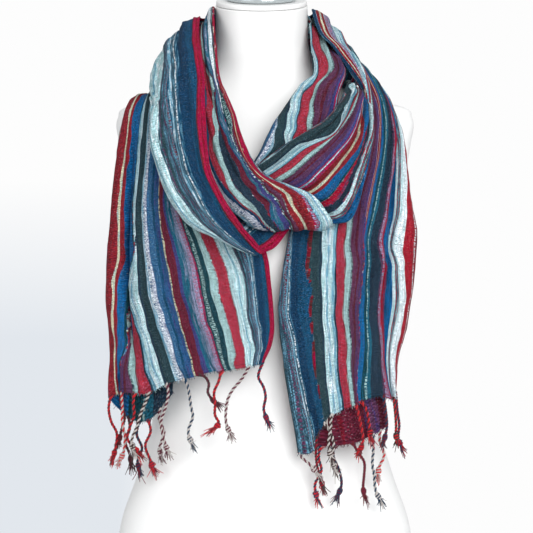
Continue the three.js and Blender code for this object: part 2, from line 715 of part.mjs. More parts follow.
function strandGeometry(points) {
  const sides = STRAND_SIDES;
  const rings = STRAND_RINGS;
  const curve = new THREE.CatmullRomCurve3(points);
  const frames = curve.computeFrenetFrames(rings);
  const positions = [];
  for (let k = 0; k <= rings; k += 1) {
    const share = k / rings;
    const knot = Math.exp(-(((share - KNOT_SHARE) / KNOT_SPREAD) ** 2));
    const narrowed = Math.max(0, (share - 1 + TIP_SHARE) / TIP_SHARE);
    const plain = THREE.MathUtils.lerp(STRAND_RADIUS, TIP_RADIUS, narrowed);
    const radius = plain + (KNOT_RADIUS - STRAND_RADIUS) * knot;
    const centre = curve.getPointAt(share);
    for (let i = 0; i < sides; i += 1) {
      const angle = (i / sides) * 2 * Math.PI + Math.PI / 4;
      const corner = centre.clone()
        .addScaledVector(frames.normals[k], radius * Math.cos(angle))
        .addScaledVector(frames.binormals[k], radius * Math.sin(angle));
      positions.push(corner.x, corner.y, corner.z);
    }
  }
  const index = [0, 3, 2, 0, 2, 1];
  for (let k = 0; k < rings; k += 1) {
    for (let i = 0; i < sides; i += 1) {
      const a = k * sides + i;
      const b = k * sides + ((i + 1) % sides);
      index.push(a, b, b + sides, a, b + sides, a + sides);
    }
  }
  const last = rings * sides;
  index.push(last, last + 1, last + 2, last, last + 2, last + 3);
  const geometry = new THREE.BufferGeometry();
  geometry.setAttribute('position', new THREE.Float32BufferAttribute(positions, 3));
  geometry.setIndex(index);
  return geometry;
}

function toSolid(geometry) {
  const merged = BufferGeometryUtils.mergeVertices(geometry, MERGE_DISTANCE);
  return new wasm.Manifold(new wasm.Mesh({
    numProp: 3,
    vertProperties: merged.attributes.position.array,
    triVerts: Uint32Array.from(merged.index.array),
  }));
}

function toGeometry(solid) {
  const mesh = solid.getMesh();
  const geometry = new THREE.BufferGeometry();
  geometry.setAttribute('position', new THREE.BufferAttribute(mesh.vertProperties, 3));
  geometry.setIndex(new THREE.BufferAttribute(mesh.triVerts, 1));
  return geometry;
}

// The strip follows the hem just below the cloth, and the strands grow out of it

function addFringe(parent, { name, end, strands }, hems) {
  const hem = hems[end];
  const stretch = STRETCHES[end];
  const section = stretch.shapes[stretch.shapes.length - 1].section;
  const width = section[section.length - 1][0];
  const strip = hem.map(([above, edge], i) => {
    const down = edge.clone().sub(above).normalize();
    const along = hem[Math.min(i + 1, hem.length - 1)][1].clone()
      .sub(hem[Math.max(i - 1, 0)][1])
      .normalize();
    const square = down.clone().addScaledVector(along, -down.dot(along)).normalize();
    const away = square.add(down).normalize();
    return [SEAM, SEAM + STRIP_HEIGHT].map((drop) => edge.clone().addScaledVector(away, drop));
  });
  let solid = toSolid(wallGeometry(strip, STRIP_THICKNESS));
  for (const [arc, ...bends] of strands) {
    const place = (arc / width) * (strip.length - 1);
    const column = Math.min(Math.floor(place), strip.length - 2);
    const root = strip[column][0].clone().lerp(strip[column + 1][0], place - column);
    const foot = strip[column][1].clone().lerp(strip[column + 1][1], place - column);
    root.lerp(foot, 0.5);
    const points = [root, ...bends.map((bend) => root.clone().add(vector(bend, 0)))];
    solid = solid.add(toSolid(strandGeometry(points)));
  }
  addMesh(parent, name, toGeometry(solid), LOOKS.fringe);
}

const hems = {};
addForm(scarf);
for (const chain of CHAINS) addChain(scarf, chain, hems);
for (const fringe of FRINGES) addFringe(scarf, fringe, hems);

export default scarf;
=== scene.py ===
"""A striped cotton scarf with twisted fringe, wound once round a limbless dress form."""

import math

import bmesh
import bpy
import numpy as np
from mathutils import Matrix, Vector


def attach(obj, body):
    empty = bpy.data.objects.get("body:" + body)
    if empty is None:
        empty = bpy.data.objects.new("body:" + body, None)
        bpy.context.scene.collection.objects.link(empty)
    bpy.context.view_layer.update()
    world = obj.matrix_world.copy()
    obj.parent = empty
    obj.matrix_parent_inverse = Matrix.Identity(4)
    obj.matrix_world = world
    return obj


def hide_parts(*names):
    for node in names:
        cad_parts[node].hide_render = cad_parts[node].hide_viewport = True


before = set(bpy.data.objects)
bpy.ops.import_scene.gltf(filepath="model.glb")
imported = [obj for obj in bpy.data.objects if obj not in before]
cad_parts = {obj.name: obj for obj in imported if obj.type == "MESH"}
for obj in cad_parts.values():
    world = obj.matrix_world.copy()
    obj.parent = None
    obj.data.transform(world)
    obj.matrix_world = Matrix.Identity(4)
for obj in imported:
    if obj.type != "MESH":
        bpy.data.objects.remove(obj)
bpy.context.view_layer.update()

MM = 0.001

# Camera, as far and as high as the photograph's

CAMERA_PLACE = (1.7 * MM, -2300 * MM, 398 * MM)
FRAME_WIDTH = 597.4 * MM
FRAME_DISTANCE = 2200 * MM

# Light and stage, in metres: the strength of an even sky, and each lamp's place, size and watts

AMBIENT = 0.55
SKY = (0.97, 0.985, 1, 1)
LIGHTS = [
    ("key", (0.9, -2.5, 1.3), 1.9, 70),
    ("fill", (-1.9, -1.8, 0.8), 1.8, 14),
]
LIGHTS_AIM = (0, 0, 0.45)
FLOOR_RADIUS = 0.58
FLOOR_DROP = 0.0005
SURROUND_RADIUS = 6

# The form: height, middle, half width, front, back, squareness and forward tilt, in millimetres

FORM = [
    [0, 0, 164, -94, 102, 2.6, 0],
    [12, 0, 171, -100, 108, 2.6, 0],
    [62, 0, 173, -102, 112, 2.5, 0],
    [104, 0, 167, -101, 108, 2.4, 0],
    [150, 0, 151, -96, 96, 2.3, 0],
    [200, 0, 136, -90, 80, 2.3, 0],
    [250, 0, 127, -87, 69, 2.3, 0],
    [305, 0, 130, -92, 69, 2.3, 0],
    [360, 0, 138, -104, 76, 2.3, 0],
    [410, 0, 145, -110, 83, 2.3, 0],
    [455, 0, 151, -105, 86, 2.4, 0],
    [500, 0, 162, -88, 82, 2.5, 0],
    [540, 0, 170, -71, 73, 2.6, 0],
    [572, 0, 172, -58, 65, 2.6, 0],
    [583, 0, 165, -54, 62, 2.5, 0],
    [590, 0, 140, -52, 61, 2.4, 0],
    [600, 0, 108, -50, 60, 2.2, 0],
    [612, -1, 82, -49, 58, 2.1, 0],
    [626, -2, 66, -50, 56, 2, 0],
    [645, -3, 57, -53, 52, 2, 0],
    [680, -4, 54, -58, 48, 2, 0.12],
    [703.7, -4, 54, -61, 45, 2, 0.246],
]
NECK = FORM[-1]
PLATE = 6
KNOB_RADIUS = 41
KNOB_HEIGHT = 11
PART_GAP = 0.3
FORM_SIDES = 112
FORM_LEVELS = [(0, 560, 90), (565, 703.7, 60)]

# The plate on the neck, as height and share of the neck's size, and the knob's profile, as
# shares of its radius and height

PLATE_LEVELS = [[0.3, 0.94], [0.9, 0.975], [1.7, 0.985], [5.2, 0.985], [6, 0.978], [6.3, 0.96]]
KNOB_PROFILE = [
    [0.84, 0], [0.95, 0.04], [0.99, 0.16], [1, 0.34], [0.985, 0.5], [0.94, 0.66],
    [0.84, 0.79], [0.68, 0.89], [0.48, 0.955], [0.25, 0.99], [0.05, 1],
]

# Sections of the cloth, from the first rail to the second: millimetres along the cloth's
# width, share of the way from rail to rail, how far it stands proud, how much lower it ends

LEFT_SHOULDER = [
    [0, 0, 1, 0], [46, 0.2, 5, 0], [71, 0.33, 3, 0], [98, 0.46, 6, 0], [122, 0.58, 4, 0],
    [150, 0.72, 6, 0], [170, 0.82, 2, 0], [198, 0.93, 6, 0], [222, 1, 1, 0],
    [240, 0.97, -4, 0], [268, 0.86, -4, 0], [314, 0.66, -4, 0],
]
LEFT_CHEST = [
    [0, 0, 0, 0], [22, 0.08, 6, 0], [46, 0.22, 15, 0], [71, 0.37, 21, 0], [88, 0.46, 20, 0],
    [98, 0.52, 22, 0], [122, 0.63, 20, 0], [140, 0.71, 17, 0], [162, 0.81, 13, 0],
    [170, 0.84, 7, 0], [176, 0.855, -1, 0], [184, 0.88, 6, 0], [198, 0.93, 12, 0],
    [212, 0.98, 8, 0], [222, 1, 0, 0], [232, 0.97, -7, 0], [262, 0.82, 0, 0],
    [290, 0.66, 9, 0], [314, 0.55, 12, 0],
]
LEFT_HEM = [
    [0, 0, 0, 0], [8, 0.03, 4, 0], [46, 0.12, 8, 0], [71, 0.24, 17, 0], [88, 0.32, 16, -2],
    [98, 0.39, 21, 0], [122, 0.5, 19, 0], [140, 0.59, 21, 2], [162, 0.71, 18, 8],
    [176, 0.79, 19, 4], [194, 0.89, 12, 0], [205, 0.925, 4, -2], [212, 0.945, 3, 0],
    [222, 0.985, 6, 0], [230, 1, -1, 2], [240, 0.965, -6, 12], [268, 0.8, -1, 36],
    [292, 0.68, 6, 34], [314, 0.56, 9, 12],
]
RIGHT_NECK = [
    [0, 0, -3, 0], [30, 0.05, 2, 0], [60, 0.15, 7, 0], [95, 0.26, 5, 0], [125, 0.38, 9, 0],
    [160, 0.5, 7, 0], [195, 0.62, 10, 0], [230, 0.74, 7, 0], [265, 0.86, 8, 0],
    [292, 0.96, 3, 0], [314, 1, -3, 0],
]
RIGHT_CHEST = [
    [0, 0.8, 5, 0], [40, 0.55, 10, 0], [85, 0.25, 7, 0], [110, 0.06, -2, 0],
    [123, 0, -1, 0], [132, 0.03, 5, 0], [146, 0.11, 8, 0], [160, 0.24, 15, 0],
    [177, 0.36, 19, 0], [188, 0.43, 17, 0], [200, 0.5, 21, 0], [216, 0.59, 18, 0],
    [238, 0.68, 20, 0], [258, 0.74, 15, 0], [264, 0.77, 8, 0], [272, 0.8, 11, 0],
    [290, 0.88, 12, 0], [302, 0.94, 10, 0], [314, 1, 0, 0],
]
RIGHT_HEM = [
    [0, 0.86, 4, 34], [40, 0.66, 8, 40], [85, 0.4, 9, 42], [110, 0.12, 0, 38],
    [123, 0, -2, 40], [132, 0.02, 5, 42], [144, 0.12, 8, 40], [150, 0.17, 2, 30],
    [158, 0.22, 9, 16], [168, 0.29, 14, 6], [177, 0.35, 17, 4], [188, 0.42, 15, 2],
    [200, 0.5, 20, 0], [216, 0.58, 17, -2], [238, 0.72, 19, -4], [252, 0.82, 16, -2],
    [262, 0.9, 11, 4], [268, 0.93, 2, 5], [290, 0.97, 4, 3], [314, 1, 0, 0],
]
COLLAR = [
    [0, 0, 0, 0], [25, 0.1, 6, 0], [50, 0.22, 11, 0], [75, 0.36, 12, 0], [100, 0.5, 15, 0],
    [125, 0.66, 13, 0], [150, 0.8, 12, 0], [175, 0.93, 6, 0], [190, 1, -2, 0],
]
BAND = [
    [0, 0, 0, 0], [8, 0.06, 4, 0], [22, 0.27, 6, 0], [30, 0.42, 10, 0], [40, 0.56, 8, 0],
    [54, 0.76, 12, 0], [66, 0.92, 9, 0], [74, 1, 1, 0], [84, 0.96, -8, 0],
    [110, 0.74, -8, 0],
]
BAND_END = [
    [0, 0, 0, 0], [8, 0.12, 3, 0], [22, 0.36, 4, 0], [30, 0.5, 6, 0], [40, 0.66, 5, 0],
    [54, 0.82, 6, 0], [66, 0.94, 4, 0], [74, 1, 0, 0], [84, 0.96, -4, 0], [110, 0.8, -4, 0],
]
INNER_BAND = [
    [0, 0, 0, 0], [12, 0.1, 4, 0], [24, 0.24, 5, 0], [40, 0.42, 3, 0], [56, 0.6, 5, 0],
    [72, 0.8, 3, 0], [90, 1, 0, 0],
]
CROSSING = [
    [0, 0, 0, 0], [10, 0.07, 5, 0], [22, 0.18, 7, 0], [30, 0.3, 4, 0], [42, 0.42, 8, 0],
    [52, 0.5, 6, 0], [66, 0.66, 9, 0], [80, 0.82, 6, 0], [90, 1, 0, 0],
]
BUNDLE = [
    [0, 0, -5, 0], [10, 0.03, 3, 0], [20, 0.12, 9, 0], [32, 0.2, 6, 0], [44, 0.28, 13, 0],
    [56, 0.37, 11, 0], [70, 0.46, 16, 0], [84, 0.56, 14, 0], [98, 0.65, 18, 0],
    [112, 0.74, 15, 0], [126, 0.83, 17, 0], [138, 0.91, 11, 0], [150, 0.97, 5, 0],
    [160, 1, -4, 0], [172, 0.96, -12, 0],
]
BUNDLE_START = [
    [0, 0, 0, 0], [20, 0.12, 5, 0], [44, 0.28, 7, 0], [56, 0.36, 5, 0], [70, 0.45, 9, 0],
    [84, 0.54, 7, 0], [98, 0.64, 8, 0], [126, 0.84, 6, 0], [150, 0.97, 2, 0],
    [160, 1, 0, 0], [172, 0.98, -3, 0],
]
BUNDLE_END = [
    [0, 0, 0, 0], [20, 0.12, 2, 0], [44, 0.28, 1, 0], [70, 0.45, 3, 0], [98, 0.64, 2, 0],
    [126, 0.84, 3, 0], [150, 0.97, 1, 0], [160, 1, 0, 0], [172, 0.98, -2, 0],
]
INNER_RIGHT = [
    [0, 0, -3, 0], [8, 0.06, 3, 0], [22, 0.25, 6, 0], [34, 0.42, 4, 0], [46, 0.58, 7, 0],
    [58, 0.75, 4, 0], [72, 0.9, 6, 0], [84, 1, 0, 0],
]
INNER_TOP = [[0, 0, 0, 0], [22, 0.25, 1, 0], [46, 0.58, 2, 0], [84, 1, 0, 0]]
LOW_TURN = [[0, 0, 0, 0], [10, 0.25, 3, 0], [24, 0.6, 2, 0], [40, 1, 0, 0]]

# Which of the woven stripes shows where. A table has the stations that it is given at, and
# then rows of a place across the woven cloth and where that lies on the section at each
# station, all in millimetres. Where the woven place jumps between two rows that lie within
# about a millimetre on the section, one fold lies over the next. Before a table's first
# station and after its last, what it says there goes on.

SHOWS = {
    "left_end": (
        [5, 6.5, 8, 9, 10, 11.5, 13],
        [
            [0, 0, 0, 0, 0, 0, 0, 0],
            [8, 8, 8, 7, 7, 6, 5, 4],
            [21, 21, 21, 21, 21, 17, 10, 7],
            [46, 40, 38, 31.5, 32.4, 30.4, 24, 21],
            [57.4, 55, 49, 43.5, 41.2, 41.4, 38.5, 41],
            [71, 68, 61, 54.4, 51.3, 50.2, 50.2, 56.5],
            [77, 74, 66.5, 60.7, 57.6, 56.5, 56.5, 60.7],
            [88, 84, 76, 68.7, 67.4, 66, 66, 68],
            [98, 92, 86, 80, 77, 76, 76, 80],
            [110, 103, 97, 93, 89, 88, 90, 93],
            [121, 110, 104.5, 99.4, 96.3, 96.3, 96.5, 98],
            [123, 112, 107, 101.4, 98.2, 98.2, 98.4, 100],
            [140.5, 134, 130, 123, 115.5, 114.5, 115, 115],
            [150.5, 142, 139.5, 137, 129, 127.2, 125.6, 126.7],
            [162.5, 154, 151, 148.3, 144, 143.7, 141, 140],
            [176.5, 160, 152, 177, 161, 156, 156.5, 153],
            [188, 160.5, 152.2, 177.2, 181, 179, 172.5, 171.5],
            [193, 160.6, 152.3, 177.3, 181.2, 180, 183, 175],
            [210, 160.7, 152.4, 177.4, 181.4, 181, 193, 200],
            [240, 161, 153, 178, 182, 185, 194, 202],
            [236, 163, 155, 180, 185, 188, 197, 204],
            [230, 184, 184, 191.5, 194, 198, 204, 208],
            [226, 190, 190, 195, 199, 202, 207, 211],
            [224.5, 193, 193, 198.3, 202.5, 205.5, 210, 214],
            [222, 206, 206, 212, 214, 215, 217, 219],
            [220, 214, 214, 221, 221, 221, 222, 223],
            [231, 223, 223, 223, 223, 223, 224, 227],
            [237, 262, 262, 262, 262, 262, 262, 262],
            [246, 290, 290, 290, 290, 290, 290, 290],
            [257, 314, 314, 314, 314, 314, 314, 314],
        ],
    ),
    "right_end": (
        [3, 8, 9.5, 10.5, 12, 13.6, 16],
        [
            [200, -60, 0, 0, 0, 0, 0, 0],
            [208, -50, 40, 40, 40, 40, 40, 40],
            [110, -49, 41, 41, 41, 41, 41, 41],
            [121, -30, 85, 85, 85, 85, 85, 85],
            [118, -29, 86, 86, 86, 86, 86, 86],
            [113, -20, 118, 118, 118, 118, 118, 118],
            [45, -19, 118.5, 118.5, 118.5, 118.5, 118.5, 118.5],
            [36, -15, 124, 124, 125, 130, 138, 141],
            [34, -14.8, 124.5, 124.5, 126, 131, 139, 142],
            [32, -14.5, 128, 128, 131, 133, 140, 143],
            [25, -13, 129, 129, 131.5, 136, 144, 147],
            [24, -12.8, 130, 130, 132.5, 138, 146, 149],
            [21, -12, 131, 131, 133.5, 140, 147.5, 151],
            [8, -1, 147, 149, 149.7, 155, 157.5, 160],
            [7.2, -0.9, 148.5, 151, 151.2, 156.2, 158.6, 160.8],
            [22, 0, 148.51, 151.01, 151.21, 156.21, 158.61, 160.81],
            [11, 17, 148.52, 151.02, 151.22, 156.22, 158.62, 160.82],
            [221, 18, 148.53, 151.03, 151.23, 156.23, 158.63, 160.83],
            [229, 46, 148.54, 151.04, 151.24, 156.24, 158.64, 160.84],
            [89.6, 47, 148.55, 151.05, 151.25, 156.25, 158.65, 160.85],
            [97, 84, 148.56, 151.06, 151.26, 156.26, 158.66, 160.86],
            [151, 86, 148.6, 151.1, 151.3, 156.3, 158.7, 160.9],
            [162.5, 92, 155, 157, 160, 165.4, 170, 170],
            [176.4, 120, 168, 170.6, 172, 178, 183, 184],
            [178.4, 121, 169, 171.5, 173.5, 181, 186.3, 189],
            [187, 127, 178, 180, 184.5, 188.2, 195.5, 196.8],
            [193, 131, 185, 187.4, 192.6, 193.6, 201, 202],
            [209, 142, 200, 202, 207, 210, 217.7, 211],
            [230, 160, 206, 203, 208, 211, 218, 212],
            [236, 168, 212, 207, 212, 219, 226, 219],
            [241, 176, 216, 210, 215, 222, 229, 224],
            [242.5, 180, 219, 212, 218, 224, 232, 228],
            [246, 190, 224, 215, 221, 226, 235.5, 233],
            [256, 210, 238, 226, 238, 241, 256.5, 252],
            [261, 218, 250, 236, 258, 253, 262, 259],
            [269.1, 236, 262, 240, 266, 266, 268, 264],
            [277, 252, 271, 262, 272, 279, 272, 270],
            [284, 262, 278, 267, 280, 285, 280, 276],
            [297, 280, 290, 271, 284, 291, 284, 282],
            [302, 292, 298, 286, 291.5, 300, 297, 296],
            [314, 314, 314, 314, 314, 314, 314, 314],
        ],
    ),
    "loop_outer_left": (
        [0, 2, 6, 9, 13],
        [
            [0, 0, 0, 0, 0, 0],
            [8, 17, 17, 12, 12.5, 16],
            [21, 60, 62, 27, 26, 36],
            [32, 96, 94, 39, 36, 50],
            [34, 101, 95, 42, 38.5, 52],
            [46, 122, 106, 54, 52, 62],
            [57, 189, 187, 76, 75, 76],
            [66, 190, 188, 110, 110, 110],
        ],
    ),
    "loop_crossing": (
        [0, 2.5, 4, 6, 7, 8, 9.2, 10, 11.5, 13],
        [
            [152, -60, -60, -60, -60, -60, -50, -30, -20, -8, -4],
            [162.5, -56, -56, -56, -56, -56, -40, -20, -12, -0.5, 0],
            [175, -50, -50, -50, -50, -50, -20, -2, 6, 17, 20],
            [258.2, -49, -49, -49, -49, -49, -19, -1.9, 6.1, 17.1, 20.1],
            [260.8, -48, -48, -48, -48, -48, -18, -1.8, 7, 21, 24],
            [0.2, -20, -0.5, -0.5, -0.5, -0.5, 3, 9, 7.1, 21.1, 24.1],
            [6.8, -1, 2, 4, 7, 10.8, 12, 14, 7.5, 21.4, 24.3],
            [220.2, -0.9, 2.1, 4.1, 7.1, 10.9, 12.1, 14.1, 7.6, 21.5, 24.4],
            [224.4, 0, 2.4, 7, 9, 14, 14, 16.5, 18.4, 31.8, 30],
            [226.1, 0.1, 2.5, 7.4, 9.4, 14.4, 14.4, 18, 22, 35, 33],
            [229.8, 1, 3, 10, 12.6, 19.8, 17, 22, 26, 42, 38],
            [194.6, 1.1, 3.1, 10.1, 12.7, 19.9, 17.1, 22.1, 26.1, 42.1, 38.1],
            [202.8, 2, 4, 12, 14, 24, 18.5, 24, 33, 51, 46],
            [82.5, 2.1, 4.1, 12.1, 14.1, 24.1, 18.6, 24.1, 33.1, 51.1, 46.1],
            [87.5, 5, 12, 14, 28, 26, 20, 26, 36, 53, 52],
            [296.5, 5.1, 12.1, 14.1, 28.1, 26.1, 20.1, 26.1, 36.1, 53.1, 52.1],
            [301.5, 22, 26, 18, 28.5, 26.5, 20.3, 26.3, 36.3, 53.3, 52.3],
            [106.2, 22.1, 26.1, 18.1, 28.6, 26.6, 20.4, 26.4, 36.4, 53.4, 52.4],
            [109.8, 24, 28, 20, 30, 28, 22, 30, 44, 60, 58],
            [98.2, 24.1, 28.1, 20.1, 30.1, 28.1, 22.1, 30.1, 44.1, 60.1, 58.1],
            [105.8, 50, 52, 23, 42.5, 36, 28, 35, 49, 66.6, 62],
            [110.5, 50.1, 52.1, 23.1, 42.6, 36.1, 28.1, 35.1, 49.1, 66.7, 62.1],
            [119, 52, 54, 24, 48, 45, 36, 50, 60, 67, 63],
            [246.2, 52.1, 54.1, 24.1, 48.1, 45.1, 36.1, 50.1, 60.1, 67.1, 63.1],
            [255.8, 54, 56, 25, 49, 60, 62, 68, 70, 76, 66],
            [193, 54.1, 56.1, 25.1, 49.1, 60.1, 62.1, 68.1, 70.1, 76.1, 66.1],
            [188.5, 60, 60, 32, 60.5, 74, 71, 80, 82, 80, 70],
            [187, 60.1, 60.1, 32.1, 60.6, 74.1, 71.1, 80.1, 82.1, 80.1, 70.1],
            [178.8, 76, 76, 52, 73, 84, 84, 82, 83, 81, 71],
            [8.2, 76.1, 76.1, 52.1, 73.1, 84.1, 84.1, 82.1, 83.1, 81.1, 71.1],
            [20, 90, 90, 62, 84, 88, 88, 88, 86, 84, 76],
            [140.6, 90.1, 90.1, 62.1, 84.1, 88.1, 88.1, 88.1, 86.1, 84.1, 76.1],
            [150, 110, 110, 90, 95, 95, 95, 95, 95, 95, 92],
        ],
    ),
    "loop_low_turn": ([0, 3], [[0, 0, 0], [8, 9, 9], [22, 24, 24], [34, 40, 40]]),
    "loop_right_main": (
        [0, 3, 5, 7, 8, 9.5, 11],
        [
            [283, 0, 0, 0, 0, -20, -20, -20],
            [289, 4, 4, 10, 6, -10, -10, -10],
            [151, 4.1, 4.1, 10.1, 6.1, -9.9, -9.9, -9.9],
            [161, 16, 15.5, 38, 16, 5, 30, 44],
            [163, 16.5, 16.5, 40, 17, 6, 45, 55],
            [177, 27.5, 27.5, 42, 38, 46, 104, 150],
            [178.5, 28, 28, 42.5, 39, 47, 105, 151],
            [187, 36.7, 36.7, 44, 41, 49, 107, 153],
            [194, 45, 44.7, 46, 46, 52, 110, 155],
            [203, 54, 54, 54, 55, 58, 118, 158],
            [211, 64, 64, 64, 62, 66, 128, 161],
            [214.5, 68, 68, 70, 68, 70, 132, 162],
            [220, 74, 76, 78, 74, 76, 138, 163],
            [224.5, 80, 84, 86, 78, 80, 142, 164],
            [229, 85, 92, 98, 84, 88, 146, 165],
            [231, 86, 93, 101, 86, 90, 147, 166],
            [237, 101, 107, 112, 99, 105, 153, 167.5],
            [263, 101.5, 107.5, 112.5, 99.5, 105.5, 153.5, 168],
            [268, 109, 118, 113.5, 108, 116, 156, 169],
            [246, 109.5, 118.5, 114, 108.5, 116.5, 156.5, 169.5],
            [257, 122, 127.5, 120, 122, 124, 160, 170],
            [277, 122.5, 128, 121, 122.5, 124.5, 160.5, 170.5],
            [284, 133, 138, 130, 134, 134, 165, 171],
            [290, 142, 141, 140, 140, 140, 167, 171.5],
            [270, 142.5, 141.5, 140.5, 140.5, 140.5, 167.5, 171.8],
            [276, 172, 172, 172, 172, 172, 172, 172],
        ],
    ),
    "loop_right_inner": (
        [0, 1, 2, 3, 4, 5, 6.5, 8, 10],
        [
            [130, -4, -2, -2, -20, -30, -34, -34, -44, -44],
            [140.5, 10, 14, 14, -4, -16, -26, -26, -40, -40],
            [150.5, 24, 28, 15.5, 0, -6, -14, -14, -30, -30],
            [162.5, 46, 50, 27.5, 16.8, 8, 3, 9, -4, -6],
            [176.5, 70, 61, 42, 27.5, 21, 26, 15.7, 4, 4],
            [178.5, 70.5, 62, 44, 28.5, 23, 28, 16.5, 5, 5],
            [187, 80, 74, 58, 42, 34, 32.5, 38, 31, 27],
            [188.5, 80.5, 74.5, 59, 43, 35, 33.5, 39.5, 33, 29],
            [193.5, 83, 77, 64, 49, 41, 40, 51, 44, 40],
            [211, 90, 86, 76, 68, 70, 72, 76, 78, 78],
            [220, 98, 96, 90, 86, 84, 84, 84, 84, 84],
        ],
    ),
}
BLENDED_SHOWS = {
    "neck_back_outer": (("loop_outer_left", 0), ("right_end", 0)),
    "neck_back_inner": (("loop_crossing", 0), ("loop_right_inner", 10)),
}

SECTION_WIDTHS = {
    "left_end": 314,
    "right_end": 314,
    "loop_outer_left": 110,
    "loop_crossing": 90,
    "loop_low_turn": 40,
    "loop_right_main": 172,
    "loop_right_inner": 84,
    "neck_back_outer": 190,
    "neck_back_inner": 90,
}

# Creases: a soft ridge, or a step where one fold lies on the next, with its
# height and reach in millimetres and the line that it follows as station and place on
# the section

RIDGE, STEP = "ridge", "step"
CREASES = {
    "left_end": [
        (RIDGE, -5, 5, [[3, 173], [6, 175], [9, 177], [12, 200], [13, 208]]),
        (STEP, 2.2, 12, [[4, 172], [7, 174], [10, 180], [13, 208]]),
        (RIDGE, 2.6, 8, [[4, 98], [8, 80], [11, 60], [13, 52]]),
        (RIDGE, -2.2, 6, [[5, 122], [9, 104], [12, 96]]),
        (RIDGE, 2.4, 7, [[4, 142], [8, 130], [13, 112]]),
        (RIDGE, -2, 6, [[6, 60], [10, 40], [12, 34]]),
        (RIDGE, 1.8, 4, [[6, 154], [10, 150], [13, 146]]),
        (RIDGE, 1.6, 2, [[0, 3], [6, 3], [13, 3]]),
    ],
    "right_end": [
        (STEP, 3.2, 9, [[7, 147], [10, 148], [13, 148], [16, 149]]),
        (RIDGE, -3, 5, [[8, 148], [12, 149], [16, 150]]),
        (RIDGE, 2.6, 7, [[8, 205], [12, 196], [16, 190]]),
        (RIDGE, -2.4, 5, [[9, 226], [13, 214], [16, 208]]),
        (RIDGE, -2.6, 4, [[5, 262], [9, 262], [12, 260], [15, 258]]),
        (STEP, 2.4, 8, [[7, 262], [10, 261], [14, 258]]),
        (RIDGE, 2, 5, [[9, 282], [10, 290], [11, 284], [13, 288]]),
        (RIDGE, 2.4, 6, [[1, 100], [4, 112], [7, 130]]),
        (RIDGE, -2.6, 5, [[1, 60], [3, 80], [6, 90]]),
        (RIDGE, -2.4, 6, [[2, 140], [5, 160], [9, 178]]),
        (RIDGE, 2, 4, [[3, 200], [6, 232], [9, 244]]),
    ],
    "loop_outer_left": [
        (RIDGE, 2, 2.4, [[0, 8], [2, 8], [6, 4], [9, 4], [13, 5]]),
        (RIDGE, 2, 2.4, [[0, 26], [2, 25], [6, 12], [9, 11], [13, 15]]),
        (RIDGE, -1.6, 2, [[0, 37], [2, 36], [6, 18.5], [9, 17], [13, 23]]),
        (STEP, 2.6, 7, [[2, 104], [5, 46], [8, 58], [10, 62]]),
        (RIDGE, -1.8, 5, [[2, 60], [6, 24], [10, 23]]),
        (RIDGE, 1.8, 4, [[3, 60], [7, 33], [11, 36], [13, 40]]),
        (RIDGE, -2.2, 4, [[2, 120], [5, 52], [8, 46], [12, 52]]),
        (RIDGE, 2, 6, [[0, 130], [2, 124], [5, 66], [8, 64]]),
    ],
    "loop_crossing": [
        (RIDGE, 1.6, 2.5, [[0, 3], [7, 3], [9, 3]]),
        (STEP, 3, 7, [[1, 25], [4, 26], [6, 31], [8, 39], [10, 54], [12, 63]]),
        (RIDGE, -2, 3, [[2, 13], [4, 14], [6, 18], [9, 22]]),
        (RIDGE, -2.4, 4, [[2, 45], [4, 45], [6, 44], [9, 48]]),
        (RIDGE, 2, 4, [[3, 58], [5, 60], [8, 62]]),
        (RIDGE, 2.2, 4, [[9.4, 2], [10, 10], [11.5, 22], [13, 30]]),
        (RIDGE, -2.6, 3, [[9.6, 2], [10, 4], [11.5, 13.5], [13, 21.5]]),
        (RIDGE, 1.8, 3, [[10.4, 0], [11.5, 5], [13, 10]]),
        (RIDGE, -2.2, 4, [[8, 30], [10, 38], [11.5, 48], [13, 56]]),
        (RIDGE, 2, 5, [[9, 60], [11, 70], [13, 78]]),
    ],
    "loop_right_main": [
        (STEP, -4.4, 8, [[1, 18], [4, 19], [7, 20], [9, 20]]),
        (RIDGE, -4.4, 2.6, [[1, 19], [5, 20], [8, 21]]),
        (RIDGE, -3.6, 3, [[1, 46], [4, 45], [6, 40]]),
        (RIDGE, 2.4, 6, [[2, 60], [5, 62], [8, 56]]),
        (RIDGE, -3.8, 3, [[1, 78], [4, 84], [7, 88], [9, 80]]),
        (STEP, -3.6, 8, [[1, 100], [4, 102], [7, 104]]),
        (RIDGE, -4.6, 3, [[2, 123], [5, 124], [8, 120]]),
        (RIDGE, 2.6, 5, [[2, 134], [5, 136], [8, 132]]),
        (RIDGE, -3.6, 2.6, [[2, 144], [5, 144], [8, 141]]),
        (RIDGE, 3.6, 9, [[7, 60], [9, 56], [11, 60]]),
    ],
    "loop_right_inner": [
        (RIDGE, -2.4, 4, [[1, 52], [3, 48], [5, 32]]),
        (STEP, 3.2, 8, [[1, 35], [3, 30], [5, 14]]),
        (RIDGE, 2.4, 5, [[2, 66], [4, 62], [6, 52]]),
        (RIDGE, -2.6, 4, [[3, 76], [5, 72], [6, 70]]),
        (RIDGE, -2.2, 4, [[7, 30], [9, 28], [10, 26]]),
        (RIDGE, 2.2, 5, [[7, 44], [9, 44], [10, 42]]),
    ],
    "neck_back_outer": [
        (RIDGE, 3, 8, [[0, 80], [2, 96], [4, 88], [6, 70]]),
        (RIDGE, -3, 6, [[0, 58], [3, 66], [6, 46]]),
        (RIDGE, -2.4, 6, [[0, 110], [3, 124], [6, 104]]),
        (RIDGE, 2.6, 6, [[1, 140], [3, 150], [5, 138]]),
        (RIDGE, -2, 5, [[2, 24], [4, 30], [6, 22]]),
    ],
    "neck_back_inner": [
        (RIDGE, 2, 5, [[0, 30], [3, 36], [6, 30]]),
        (RIDGE, -2, 5, [[0, 56], [3, 60], [6, 58]]),
    ],
}

